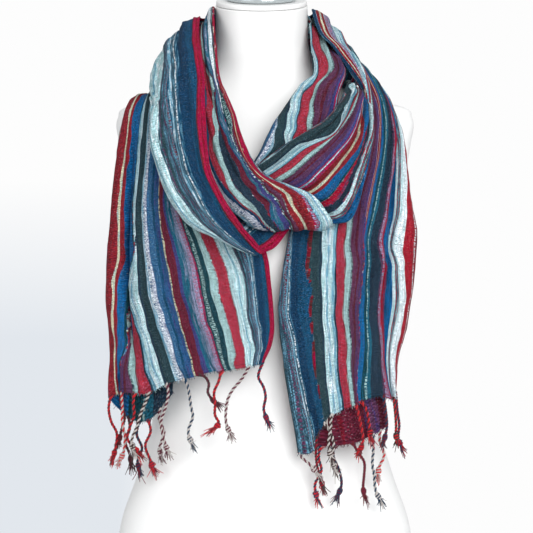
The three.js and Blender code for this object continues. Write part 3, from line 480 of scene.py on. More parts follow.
# How far creases fade at their ends, in stations, and how sharp a step is, in millimetres

CREASE_FADE = 1.2
CREASE_START = 0.25
STEP_SHARPNESS = 1.6

# Fine puckers: height, and how far each lasts across and along the cloth, in millimetres

PUCKERS = [(0.9, 11, 60), (0.7, 5, 22), (0.35, 2.6, 8)]
NOISE_GRID = (64, 256)
NOISE_SHIFT = (7.3, 3.1)

# The cloth's wall and its rest on the form, in millimetres, and how the fold's lower edge
# starts some stations above the hem

CLOTH_THICKNESS = 0.9
HEM_THICKNESS = 1.0
CLOTH_CLEARANCE = 0.8
CLEARING_ROUNDS = 4
CLEARING_PROBE = 0.5
HEM_STATIONS = 4
HEM_CURVE = 1.5
FLOW_STEP = 0.05
FOLD_JUMP = 9

# Stretches of the scarf: the first rail's x, y, z and then the second rail's, by station

STRETCHES = {
    "left_end": {
        "across": 210,
        "along": 150,
        "shapes": [
            (0, LEFT_SHOULDER),
            (3, LEFT_SHOULDER),
            (6, LEFT_CHEST),
            (9, LEFT_CHEST),
            (13, LEFT_HEM),
        ],
        "rails": [
            [-66, 12, 630, -146, 12, 593],
            [-68, -26, 618, -154, -30, 588],
            [-66, -64, 595, -161, -52, 570],
            [-58, -88, 564, -166, -56, 545],
            [-46, -106, 524, -170, -56, 512],
            [-32, -118, 482, -174, -54, 474],
            [-14, -123, 444, -178, -50, 436],
            [2, -125, 412, -180.5, -46, 402],
            [7, -126, 378, -181.5, -45, 368],
            [10, -124, 346, -180, -46, 336],
            [10, -122, 326, -178.5, -48, 314],
            [7, -121, 310, -178, -50, 292],
            [3, -120, 300, -179, -52, 272],
            [0, -119, 293, -178, -54, 253],
        ],
    },
    "right_end": {
        "across": 230,
        "along": 170,
        "shapes": [
            (0, RIGHT_NECK),
            (3, RIGHT_NECK),
            (8, RIGHT_CHEST),
            (12, RIGHT_CHEST),
            (16, RIGHT_HEM),
        ],
        "rails": [
            [60, 26, 701, 116, 30, 618],
            [58, -4, 698, 119, -6, 613],
            [66, -42, 668, 124, -38, 604],
            [80, -64, 649, 133, -56, 591],
            [93, -78, 622, 143, -66, 577],
            [98, -86, 596, 152, -70, 558],
            [92, -94, 566, 158, -72, 534],
            [74, -104, 528, 162, -74, 504],
            [52, -114, 490, 165, -78, 470],
            [34, -121, 452, 171, -80, 438],
            [27, -125, 415, 170, -80, 408],
            [21, -126, 386, 168, -78, 384],
            [16, -125, 356, 164, -76, 354],
            [17, -123, 324, 159, -76, 324],
            [21, -121, 292, 152, -76, 296],
            [26, -119, 262, 150, -76, 274],
            [32, -117, 234, 149, -76, 258],
        ],
    },
    "loop_outer_left": {
        "across": 110,
        "along": 180,
        "shapes": [
            (0, COLLAR),
            (2, COLLAR),
            (6, BAND),
            (10, BAND),
            (13, BAND_END),
        ],
        "rails": [
            [-75, 26, 692, -124, 30, 620],
            [-76, -4, 689, -129, -6, 616],
            [-76, -44, 662, -133, -40, 604],
            [-72, -75, 636, -134, -68, 587],
            [-68, -97, 609, -135, -84, 566],
            [-67, -112, 583, -132, -94, 547],
            [-65.5, -124, 555, -126, -104, 530],
            [-63.5, -133, 531, -118, -114, 508],
            [-60, -140, 507, -111, -123, 486],
            [-50.5, -145, 484, -100, -131, 464],
            [-39, -149, 463, -83, -138, 444],
            [-25, -151, 442, -58, -144, 431],
            [-11, -151, 425, -32, -147, 419],
            [-1, -149.5, 413, -12, -148, 411],
        ],
    },
    "loop_crossing": {
        "across": 90,
        "along": 150,
        "shapes": [
            (0, INNER_BAND),
            (5, INNER_BAND),
            (10, CROSSING),
            (13, CROSSING),
        ],
        "rails": [
            [-58, 26, 703, -77, 28, 668],
            [-59, -4, 701, -79, -4, 660],
            [-58, -42, 681, -81, -42, 636],
            [-55, -63, 645, -80, -66, 606],
            [-51, -79, 613, -77, -85, 582],
            [-43, -92, 593, -74, -98, 560],
            [-34, -103, 571, -71, -108, 540],
            [-26, -111, 546, -67, -115, 518],
            [-16, -120, 519, -60, -122, 496],
            [2, -134, 499, -50, -128, 477],
            [27, -149, 487, -38, -133, 461],
            [54, -157, 474, -28, -136, 452],
            [72, -157, 450, -22, -137, 447],
            [74, -148, 442, -19, -133, 443],
        ],
    },
    "loop_low_turn": {
        "across": 40,
        "along": 50,
        "shapes": [(0, LOW_TURN)],
        "rails": [
            [-2, -133, 413, -40, -129, 430],
            [12, -134, 420, -26, -124.4, 446],
            [26, -132, 438, -10, -124, 458],
            [40, -128, 456, 4, -120, 474],
        ],
    },
    "loop_right_main": {
        "across": 120,
        "along": 130,
        "shapes": [
            (0, BUNDLE_START),
            (1, BUNDLE_START),
            (4, BUNDLE),
            (7, BUNDLE),
            (9, BUNDLE_END),
            (11, BUNDLE_END),
        ],
        "rails": [
            [-20, -115, 500, 56, -131, 452],
            [-8, -121, 511, 76, -137, 446],
            [10, -132, 524, 92, -141, 449],
            [28, -136, 537, 102, -141, 464],
            [48, -137, 549, 108, -138, 485],
            [63, -134, 559, 114, -132, 508],
            [76, -127, 572, 117, -124, 533],
            [88, -112, 588, 112, -112, 558],
            [93, -95, 601, 107, -98, 576],
            [92, -74, 606, 106, -76, 588],
            [88, -42, 612, 106, -40, 599],
            [86, 4, 616, 106, 6, 605],
        ],
    },
    "loop_right_inner": {
        "across": 80,
        "along": 110,
        "shapes": [
            (0, INNER_RIGHT),
            (7, INNER_RIGHT),
            (9, INNER_TOP),
        ],
        "rails": [
            [-15, -106, 510, 14, -112, 502],
            [-5, -106, 530, 42, -116, 520],
            [5, -103, 552, 62, -117, 536],
            [18, -98, 573, 76, -113, 552],
            [30, -92, 590, 80, -107, 574],
            [40, -86, 602, 84, -98, 595],
            [53, -80, 612, 91, -86, 614],
            [54, -66, 634, 88.9, -72, 626.9],
            [53, -46, 657, 79, -52, 638],
            [52, -20, 679, 79, -24, 647],
            [53, 16, 688, 78, 14, 650],
        ],
    },
    "neck_back_outer": {
        "across": 110,
        "along": 110,
        "shapes": [
            (0, COLLAR),
            (3, RIGHT_NECK),
            (6, RIGHT_NECK),
        ],
        "rails": [
            [-75, 27, 692, -124, 31, 620],
            [-62, 62, 697, -104, 76, 604],
            [-36, 80, 699, -62, 98, 588],
            [-4, 86, 700, -4, 104, 580],
            [30, 81, 700, 56, 98, 588],
            [54, 62, 700, 99, 76, 604],
            [60, 27, 701, 116, 31, 618],
        ],
    },
    "neck_back_inner": {
        "across": 80,
        "along": 100,
        "shapes": [(0, INNER_BAND)],
        "rails": [
            [-58, 27, 703, -77, 29, 668],
            [-49, 48, 708, -66, 54, 652],
            [-32, 61, 712, -42, 70, 644],
            [-4, 66, 713, -4, 76, 642],
            [26, 61, 712, 40, 70, 644],
            [43, 48, 704, 64, 54, 648],
            [53, 17, 688, 78, 15, 650],
        ],
    },
}

CHAINS = [
    (1, [("left_end", 1)]),
    (-1, [("loop_outer_left", -1), ("neck_back_outer", 1), ("right_end", 1)]),
    (-1, [("loop_crossing", -1), ("neck_back_inner", 1), ("loop_right_inner", -1)]),
    (1, [("loop_right_main", 1)]),
    (-1, [("loop_low_turn", 1)]),
]

# Colours of the yarns, as they look, red, green and blue from 0 to 255

YARNS = {
    "crimson": (148, 8, 36),
    "magenta": (150, 16, 62),
    "red": (150, 32, 46),
    "scarlet": (186, 28, 36),
    "dark red": (104, 22, 36),
    "wine": (90, 32, 50),
    "maroon": (80, 26, 38),
    "brick": (130, 34, 42),
    "plum": (86, 50, 78),
    "violet": (62, 54, 108),
    "rose": (150, 92, 120),
    "lavender": (128, 134, 162),
    "navy": (14, 48, 74),
    "navy teal": (18, 64, 92),
    "denim": (38, 80, 122),
    "blue": (18, 88, 140),
    "light blue": (98, 148, 172),
    "pale aqua": (156, 192, 198),
    "white": (216, 224, 230),
    "cream": (196, 192, 164),
    "sage": (140, 170, 170),
    "slate": (46, 74, 90),
    "slate green": (40, 62, 68),
    "dark green": (16, 54, 62),
    "teal": (30, 90, 112),
    "dark slate": (28, 42, 58),
    "black": (24, 24, 32),
    "brown": (62, 42, 42),
    "ecru": (184, 178, 174),
}

# The woven stripes: where each starts, its warp, the yarn that shows between, and how it
# shows: as dots along the line, as fine lines, or as a few stray flecks

DOTS, LINES, FLECKS = 1.0, 0.5, 0.0
STRIPES = [
    [0, "magenta", "crimson", LINES],
    [3.2, "dark red", "crimson", DOTS],
    [4.2, "magenta", "red", LINES],
    [7, "dark red", "brown", LINES],
    [8, "navy teal", "denim", FLECKS],
    [14, "navy", "denim", FLECKS],
    [21, "navy teal", "light blue", LINES],
    [24, "white", "slate", DOTS],
    [25, "slate", "light blue", LINES],
    [28, "light blue", "white", LINES],
    [30.5, "navy teal", "light blue", LINES],
    [32, "dark red", "light blue", DOTS],
    [34, "slate", "light blue", LINES],
    [36.5, "plum", "slate", DOTS],
    [38, "slate", "light blue", LINES],
    [41, "slate green", "slate", FLECKS],
    [43, "plum", "slate", DOTS],
    [44.5, "slate", "pale aqua", LINES],
    [46, "pale aqua", "white", LINES],
    [50, "light blue", "pale aqua", LINES],
    [51.5, "pale aqua", "white", LINES],
    [57.4, "dark red", "pale aqua", DOTS],
    [58.3, "red", "rose", FLECKS],
    [70, "dark red", "pale aqua", DOTS],
    [71, "sage", "pale aqua", LINES],
    [77, "dark green", "slate", FLECKS],
    [82, "dark green", "sage", DOTS],
    [86, "dark green", "slate", FLECKS],
    [88, "magenta", "plum", DOTS],
    [89.5, "lavender", "rose", DOTS],
    [94, "lavender", "slate", LINES],
    [98, "teal", "lavender", LINES],
    [103, "teal", "denim", FLECKS],
    [106, "violet", "denim", FLECKS],
    [110, "wine", "dark red", FLECKS],
    [119.5, "dark red", "wine", FLECKS],
    [121, "cream", "slate", DOTS],
    [123, "denim", "violet", LINES],
    [130, "navy teal", "denim", LINES],
    [133, "denim", "light blue", FLECKS],
    [140.5, "lavender", "white", DOTS],
    [144, "white", "denim", DOTS],
    [147, "light blue", "white", LINES],
    [150.5, "slate green", "dark slate", FLECKS],
    [160, "dark slate", "slate", FLECKS],
    [162.5, "pale aqua", "white", LINES],
    [167, "light blue", "white", LINES],
    [169, "pale aqua", "white", LINES],
    [173, "light blue", "pale aqua", LINES],
    [176.5, "dark slate", "slate", LINES],
    [178.5, "red", "rose", FLECKS],
    [187, "dark red", "sage", LINES],
    [188.5, "sage", "pale aqua", LINES],
    [193, "dark slate", "sage", DOTS],
    [194.5, "plum", "maroon", LINES],
    [200, "maroon", "plum", FLECKS],
    [203, "plum", "violet", LINES],
    [210.5, "violet", "denim", FLECKS],
    [214.5, "magenta", "crimson", FLECKS],
    [216, "light blue", "white", LINES],
    [217.5, "magenta", "plum", DOTS],
    [220, "brick", "wine", FLECKS],
    [224.5, "cream", "sage", LINES],
    [226, "brick", "dark red", FLECKS],
    [230, "blue", "denim", LINES],
    [236, "dark green", "teal", LINES],
    [241, "sage", "teal", DOTS],
    [242.5, "teal", "dark green", FLECKS],
    [246, "dark slate", "slate", FLECKS],
    [256, "plum", "dark slate", DOTS],
    [258, "lavender", "magenta", DOTS],
    [261, "magenta", "lavender", DOTS],
    [263, "crimson", "plum", FLECKS],
    [267, "plum", "crimson", FLECKS],
    [269, "blue", "navy", LINES],
    [277, "pale aqua", "white", LINES],
    [282, "slate", "red", DOTS],
    [284, "slate", "pale aqua", LINES],
    [288, "slate", "red", DOTS],
    [290, "pale aqua", "white", LINES],
    [296, "white", "pale aqua", LINES],
    [302, "red", "crimson", LINES],
    [310, "white", "red", DOTS],
    [312, "dark red", "crimson", LINES],
]
RAMP_ROWS = 28
CLOTH_WIDTH = 316

# Patterns of the threads: noise cells for each millimetre across and along, its octaves,
# the span of the noise that counts, and what the pattern gives at either end of it

NOISE_SPAN = (0.3, 0.7)
PATTERNS = {
    "sway": ((0.05, 0.022, 0), 2, NOISE_SPAN, (-1.0, 1.0)),
    "ragged": ((1.6, 0.8, 0), 2, NOISE_SPAN, (-0.22, 0.22)),
    "dots": ((0.3, 0.95, 0), 1, (0.49, 0.53), (0, 1)),
    "lines": ((1.1, 0.05, 0), 3, (0.5, 0.58), (0, 0.85)),
    "broken": ((1.0, 0.7, 0), 2, (0.36, 0.46), (0, 1)),
    "flecks": ((1.5, 0.7, 0), 2, (0.53, 0.62), (0, 0.8)),
    "threads": ((1.0, 0.06, 0), 2, NOISE_SPAN, (0.78, 1.2)),
    "bands": ((0.3, 0.012, 0), 2, NOISE_SPAN, (0.84, 1.12)),
    "uneven": ((0.9, 0.8, 0), 1, NOISE_SPAN, (0.58, 1.4)),
    "weft": ((0.16, 0.62, 0), 1, NOISE_SPAN, (0.76, 1.2)),
    "specks": ((1.7, 1.3, 0), 1, (0.66, 0.74), (0, 0.3)),
}
WARP_WAVE = 2.9
WEFT_WAVE = 3.1

# Strands of the fringes: millimetres along the hem, the colours of the two plies, and
# then the bends as x, y, z from the root

LEFT_STRANDS = [
    [2, ("crimson", "navy"), [-5, 0, -16], [1, -2, -28], [3, -2, -38], [1, -2, -52],
     [4, -2, -62], [9, -2, -72]],
    [30, ("wine", "ecru"), [-10, -1, -16], [-20, -2, -28], [-25, -2, -38],
     [-27, -2, -50], [-27, -2, -62], [-18, -2, -86]],
    [71, ("scarlet", "dark red"), [-3, -1, -12], [-8, -2, -24], [-7, -2, -38], [-7, -2, -50],
     [-3, -2, -58], [-16, -2, -68]],
    [96, ("wine", "brown"), [7, -2, -3], [11, -4, -10], [10, -4, -20], [15, -4, -28],
     [22, -4, -34]],
    [118, ("navy", "ecru"), [5, -1, -8], [7, -2, -18], [9, -2, -32], [11, -2, -42],
     [6, -2, -60], [14, -2, -82]],
    [138, ("wine", "ecru"), [2, 0, -10], [0, -1, -24], [-6, -1, -44], [-2, -1, -66],
     [4, -1, -86]],
    [158, ("brown", "ecru"), [-4, -2, -10], [-10, -4, -24], [-14, -5, -38],
     [-20, -5, -54], [-16, -5, -74]],
    [176, ("scarlet", "maroon"), [-1, 0, -14], [0, 1, -26], [-5, 2, -40], [-8, 2, -52],
     [2, 2, -66], [10, 2, -76]],
    [194, ("scarlet", "ecru"), [1, 0, -18], [1, 0, -36], [4, 0, -52], [2, 0, -70],
     [-6, 0, -86]],
    [206, ("brown", "dark red"), [1, 2, -14], [5, 3, -30], [1, 3, -46], [-3, 3, -64]],
    [219, ("scarlet", "dark red"), [-3, 0, -16], [0, 0, -32], [6, 0, -44], [5, 0, -60],
     [0, 0, -80]],
    [256, ("wine", "brown"), [2, 0, -15], [-3, 0, -30], [2, 0, -45], [4, 0, -60]],
    [270, ("dark red", "navy"), [-3, 0, -16], [3, 0, -32], [-2, 0, -46], [2, 0, -62]],
    [284, ("scarlet", "wine"), [3, 0, -14], [-3, 0, -30], [3, 0, -48], [7, 0, -62]],
    [300, ("wine", "ecru"), [-2, 0, -12], [4, 0, -28], [-1, 0, -46], [2, 0, -60]],
]
RIGHT_STRANDS = [
    [16, ("scarlet", "ecru"), [-1, 0, -12], [4, 0, -30], [-2, 0, -44], [-3, 0, -56]],
    [32, ("navy", "ecru"), [0, 0, -20], [-1, 0, -35], [1, 0, -47], [3, 0, -65],
     [14, 0, -82]],
    [74, ("wine", "dark red"), [6, 0, -11], [13, 0, -22], [13, 0, -38], [12, 0, -50],
     [15, 0, -66]],
    [92, ("wine", "navy"), [-1, 0, -14], [5, 0, -28], [8, 0, -44], [2, 0, -62]],
    [102, ("scarlet", "navy"), [-2, 0, -14], [1, 0, -28], [-6, 0, -44], [-2, 0, -66]],
    [128, ("wine", "ecru"), [3, -1, -6], [9, -2, -11], [14, -2, -16], [20, -2, -23]],
    [151, ("crimson", "brown"), [-1, -1, -16], [0, -2, -30], [3, -2, -44], [9, -2, -62]],
    [160, ("brown", "ecru"), [8, -1, -12], [11, -2, -28], [9, -2, -40], [14, -2, -56]],
    [170, ("brown", "ecru"), [-1, -2, -18], [-3, -3, -34], [1, -3, -52]],
    [206, ("scarlet", "dark red"), [3, 0, -12], [6, 0, -26], [8, 0, -40], [3, 0, -58]],
    [218, ("scarlet", "maroon"), [6, 0, -10], [9, 0, -24], [11, 0, -42]],
    [252, ("navy", "dark red"), [3, 0, -20], [4, 0, -34], [2, 0, -46], [-1, 0, -56]],
    [282, ("scarlet", "brown"), [2, 0, -18], [3, 0, -34], [3, 0, -46], [6, 0, -54]],
    [312, ("crimson", "navy"), [2, 0, -22], [4, 0, -38], [3, 0, -52], [9, 0, -68]],
]
STRAND_STEP = 0.8
PLY_RADIUS = 0.95
PLY_OFFSET = 0.85
TWIST_PITCH = 6.5
KNOT_SHARE = 0.84
KNOT_RADIUS = 2.2
KNOT_LENGTH = 6.5
KNOT_TURNS = 2.4
KNOT_STEPS = 34
TAIL_HAIRS = 15
HAIR_REACH = (5, 13)
HAIR_RADII = np.linspace(0.62, 0.3, 7)
TAIL_LOOPS = 3
LOOP_RADIUS = 1.9
LOOP_THICKNESS = 0.75

# The hem's strip and what leaves it, in millimetres: rows below the cloth's edge, where
# strands and warp ends start, how wide a strand gathers its warp, and the short loose ends

HEM_ROWS = np.array([-0.2, 1.0, 2.0, 3.2])
STRAND_ROOT = 1.8
GATHER_ROOT = 1.5
GATHER_SPREADS = (-5, -3, -1.2, 1.2, 3, 5)
GATHER_AT_STEP = 9
GATHER_RADIUS = 0.45
LOOSE_ROOT = 2.6
LOOSE_STEP = 1.7
LOOSE_JITTER = 0.7
LOOSE_REACH = (1, 4)
LOOSE_RADII = np.linspace(0.35, 0.2, 4)


def soft_step(t):
    """From 0 to 1 with a soft start and end."""
    return t * t * (3 - 2 * t)


def hermite(knots, rows, at):
    """A smooth curve through the rows of a table, read at many places."""
    knots = np.asarray(knots, float)
    rows = np.asarray(rows, float)
    flat = rows.reshape(len(rows), -1)
    steps = np.diff(knots)[:, None]
    slopes = np.diff(flat, axis=0) / steps
    tangents = np.empty_like(flat)
    tangents[0] = slopes[0]
    tangents[-1] = slopes[-1]
    before, after = steps[:-1], steps[1:]
    tangents[1:-1] = (slopes[:-1] * after + slopes[1:] * before) / (before + after)
    at = np.asarray(at, float)
    i = np.clip(np.searchsorted(knots, at, side="left") - 1, 0, len(knots) - 2)
    step = steps[i]
    t = np.clip((at[:, None] - knots[i][:, None]) / step, 0, 1)
    t2, t3 = t * t, t * t * t
    value = (
        (2 * t3 - 3 * t2 + 1) * flat[i]
        + (t3 - 2 * t2 + t) * step * tangents[i]
        + (3 * t2 - 2 * t3) * flat[i + 1]
        + (t3 - t2) * step * tangents[i + 1]
    )
    return value.reshape((len(at),) + rows.shape[1:])


FORM_HEIGHTS = [row[0] for row in FORM]
FORM_SHAPES = [row[1:6] for row in FORM]


def form_share(points):
    """How far out a point lies, where 1 is the form's own surface."""
    middle, half, front, back, square = hermite(FORM_HEIGHTS, FORM_SHAPES, points[:, 2]).T
    depth = np.where(points[:, 1] < 0, -front, back)
    wide = np.abs((points[:, 0] - middle) / half) ** square
    deep = np.abs(points[:, 1] / depth) ** square
    return (wide + deep) ** (1 / square)


def rest_on_form(points, clearance):
    """Moves points that are too near the form straight out of it."""
    reach = CLEARING_PROBE
    for _ in range(CLEARING_ROUNDS):
        share = form_share(points)
        way = np.stack(
            [
                form_share(points + reach * axis) - form_share(points - reach * axis)
                for axis in np.eye(3)
            ],
            axis=1,
        ) / (2 * reach)
        steepness = np.linalg.norm(way, axis=1)
        outside = (share - 1) / steepness
        move = np.maximum(clearance - outside, 0) / steepness
        points = points + way * move[:, None]
    return points


def soft_noise(across, along, cell_across, cell_along, seed):
    """Random heights on a grid of cells, from -1 to 1, blended smoothly."""
    grid = np.random.default_rng(seed).uniform(-1, 1, NOISE_GRID)
    x = across / cell_across + NOISE_SHIFT[0]
    y = along / cell_along + NOISE_SHIFT[1]
    i, j = np.floor(x).astype(int), np.floor(y).astype(int)
    fx, fy = soft_step(x - i), soft_step(y - j)

    def corner(di, dj):
        return grid[(i + di) % NOISE_GRID[0], (j + dj) % NOISE_GRID[1]]

    low = corner(0, 0) * (1 - fx) + corner(1, 0) * fx
    high = corner(0, 1) * (1 - fx) + corner(1, 1) * fx
    return low * (1 - fy) + high * fy


def unit(vectors):
    return vectors / np.maximum(np.linalg.norm(vectors, axis=-1, keepdims=True), 1e-9)


def grid_normals(points):
    """Normals of a grid of points, across by along."""
    across = np.gradient(points, axis=0)
    along = np.gradient(points, axis=1)
    return unit(np.cross(across, along))


def chain_tables(stretches):
    """The rails and shapes of stretches that follow one another, and where each begins."""
    rails, shapes, spans = [], [], []
    for name, way in stretches:
        stretch = STRETCHES[name]
        ordered = stretch["rails"] if way > 0 else stretch["rails"][::-1]
        count = len(ordered) - 1
        start = max(len(rails) - 1, 0)
        rails += ordered[1:] if rails else ordered
        marks = [
            (start + (at if way > 0 else count - at), section)
            for at, section in stretch["shapes"]
        ]
        known = {at for at, _ in shapes}
        shapes += sorted((m for m in marks if m[0] not in known), key=lambda m: m[0])
        spans.append((name, way, start, start + count))
    return np.array(rails, float), shapes, spans


def eased(marks, values, at):
    """Values between marks, with a soft start and end at each mark."""
    values = np.asarray(values, float)
    i = int(np.clip(np.searchsorted(marks, at, side="right") - 1, 0, len(marks) - 2))
    t = soft_step(min(max((at - marks[i]) / (marks[i + 1] - marks[i]), 0), 1))
    return values[..., i] * (1 - t) + values[..., i + 1] * t


def woven_places(name, shares, stations):
    """The woven millimetre that shows at each share of the width and each station."""
    if name in BLENDED_SHOWS:
        a, b = (woven_places(end, shares, [seam]) for end, seam in BLENDED_SHOWS[name])
        t = np.linspace(0, 1, len(stations))[None]
        return a * (1 - t) + b * t
    marks, rows = SHOWS[name]
    rows = np.array(rows, float)
    shown = np.zeros((len(shares), len(stations)))
    for j, station in enumerate(stations):
        knots = eased(marks, rows[:, 1:], station)
        shown[:, j] = np.interp(shares * knots[-1], knots, rows[:, 0])
    return shown


def creased(name, shares, stations):
    """How far the creases of a stretch lift it, at each station and share."""
    lift = np.zeros((len(stations), len(shares)))
    width = SECTION_WIDTHS[name]
    for kind, height, reach, line in CREASES.get(name, []):
        marks, places = zip(*line)
        middle = np.array([[eased(marks, places, station)] for station in stations])
        starting = np.clip((stations - marks[0]) / CREASE_FADE + CREASE_START, 0, 1)
        ending = np.clip((marks[-1] - stations) / CREASE_FADE + CREASE_START, 0, 1)
        away = shares[None] * width - middle
        if kind == STEP:
            shape = np.tanh(away / STEP_SHARPNESS) * np.exp(-np.abs(away) / reach)
        else:
            shape = np.exp(-((away / reach) ** 2))
        lift += height * shape * soft_step(starting * ending)[:, None]
    return lift


def drape(side, stretches, seed):
    """The points of each stretch of a chain, with what shows and how far along it is."""
    rails, shapes, spans = chain_tables(stretches)
    count = len(rails)
    knots = np.arange(count)
    middles = (rails[:, :3] + rails[:, 3:]) / 2
    flows = middles[np.minimum(knots + 1, count - 1)] - middles[np.maximum(knots - 1, 0)]
    facing = unit(np.cross(rails[:, 3:] - rails[:, :3], flows)) * side
    travelled = np.concatenate(
        [[0], np.cumsum(np.linalg.norm(np.diff(middles, axis=0), axis=1))]
    )
    made = {}
    for name, way, first, last in spans:
        stretch = STRETCHES[name]
        shares = np.linspace(0, 1, stretch["across"] + 1)
        distances = np.linspace(travelled[first], travelled[last], stretch["along"] + 1)
        stations = np.interp(distances, travelled, knots)
        own = stations - first if way > 0 else last - stations
        row = hermite(knots, rails, stations)
        normal = unit(hermite(knots, facing, stations))
        ahead = hermite(knots, rails, np.minimum(stations + FLOW_STEP, count - 1))
        behind = hermite(knots, rails, np.maximum(stations - FLOW_STEP, 0))
        flow = unit((ahead - behind)[:, :3] + (ahead - behind)[:, 3:])
        per_shape = []
        for _, section in shapes:
            table = np.array(section, float)
            total = table[-1, 0] - table[0, 0]
            per_shape.append(hermite(table[:, 0], table[:, 1:], table[0, 0] + shares * total))
        if len(shapes) > 1:
            fold = hermite([at for at, _ in shapes], per_shape, stations)
        else:
            fold = np.repeat(per_shape[0][None], len(stations), axis=0)
        past = stations - count + 1 + HEM_STATIONS
        near_hem = np.maximum(0, past / HEM_STATIONS) ** HEM_CURVE
        lift = fold[:, :, 1] + creased(name, shares, own)
        points = row[:, None, :3] + (row[:, None, 3:] - row[:, None, :3]) * fold[:, :, :1]
        points += normal[:, None] * lift[:, :, None]
        points += flow[:, None] * fold[:, :, 2:3] * near_hem[:, None, None]
        points = points.transpose(1, 0, 2)
        width = shapes[0][1][-1][0]
        along = np.broadcast_to(distances[None], points.shape[:2])
        across = np.broadcast_to(shares[:, None] * width, points.shape[:2])
        pucker = sum(
            height * soft_noise(across, along, cell_across, cell_along, seed + k)
            for k, (height, cell_across, cell_along) in enumerate(PUCKERS)
        )
        points = points + grid_normals(points) * side * pucker[:, :, None]
        flat = rest_on_form(points.reshape(-1, 3), CLOTH_CLEARANCE)
        made[name] = (flat.reshape(points.shape), woven_places(name, shares, own), along)
    return made


def add_object(name, data):
    """Puts a mesh, a light or a camera into the scene."""
    thing = bpy.data.objects.new(name, data)
    bpy.context.scene.collection.objects.link(thing)
    return thing


def quad_piece(name, points, faces, material, attribute, kind, domain, socket, values):
    """A smooth piece of quads, in millimetres, with one value kept at its points or corners."""
    mesh = bpy.data.meshes.new(name)
    mesh.vertices.add(len(points))
    mesh.vertices.foreach_set("co", (points * MM).astype(np.float32).ravel())
    mesh.loops.add(faces.size)
    mesh.loops.foreach_set("vertex_index", faces.ravel().astype(np.int32))
    mesh.polygons.add(len(faces))
    mesh.polygons.foreach_set("loop_start", np.arange(0, faces.size, 4, dtype=np.int32))
    mesh.update(calc_edges=True)
    layer = mesh.attributes.new(attribute, kind, domain)
    layer.data.foreach_set(socket, values.astype(np.float32).ravel())
    mesh.polygons.foreach_set("use_smooth", np.ones(len(faces), bool))
    mesh.materials.append(material)
    mesh.validate()
    return add_object(name, mesh)


def wall_mesh(name, points, shows, along, thickness, material):
    """A thin shell on a grid of points, with the woven place kept at each corner."""
    normals = grid_normals(points)
    columns, rows = points.shape[:2]
    both = np.concatenate(
        [
            (points + normals * thickness / 2).reshape(-1, 3),
            (points - normals * thickness / 2).reshape(-1, 3),
        ]
    )
    number = np.arange(columns * rows).reshape(columns, rows)
    a, b = number[:-1, :-1], number[1:, :-1]
    c, d = number[1:, 1:], number[:-1, 1:]
    outer = np.stack([a, b, c, d], axis=-1).reshape(-1, 4)
    inner = outer[:, ::-1] + columns * rows
    edge_columns = [
        (number[:-1, 0], number[1:, 0], True),
        (number[:-1, -1], number[1:, -1], False),
    ]
    edge_rows = [
        (number[0, :-1], number[0, 1:], False),
        (number[-1, :-1], number[-1, 1:], True),
    ]
    rims = []
    for start, end, turned in edge_columns + edge_rows:
        first, second = (end, start) if turned else (start, end)
        rims.append(
            np.stack(
                [first, second, second + columns * rows, first + columns * rows], axis=-1
            )
        )
    faces = np.concatenate([outer, inner] + rims)
    woven = shows.reshape(-1)[faces % (columns * rows)]
    steps = woven - woven[:, :1]
    woven = np.where(np.abs(steps) > FOLD_JUMP, woven[:, :1], woven)
    place = np.stack(
        [woven, along.reshape(-1)[faces % (columns * rows)], np.zeros_like(woven)], axis=-1
    )
    return quad_piece(
        name, both, faces, material, "cloth", "FLOAT_VECTOR", "CORNER", "vector", place
    )


# Materials


def linear(colour):
    """A yarn's colour as the shader wants it."""
    parts = [c / 255 for c in colour]
    return [c / 12.92 if c <= 0.04045 else ((c + 0.055) / 1.055) ** 2.4 for c in parts] + [1]


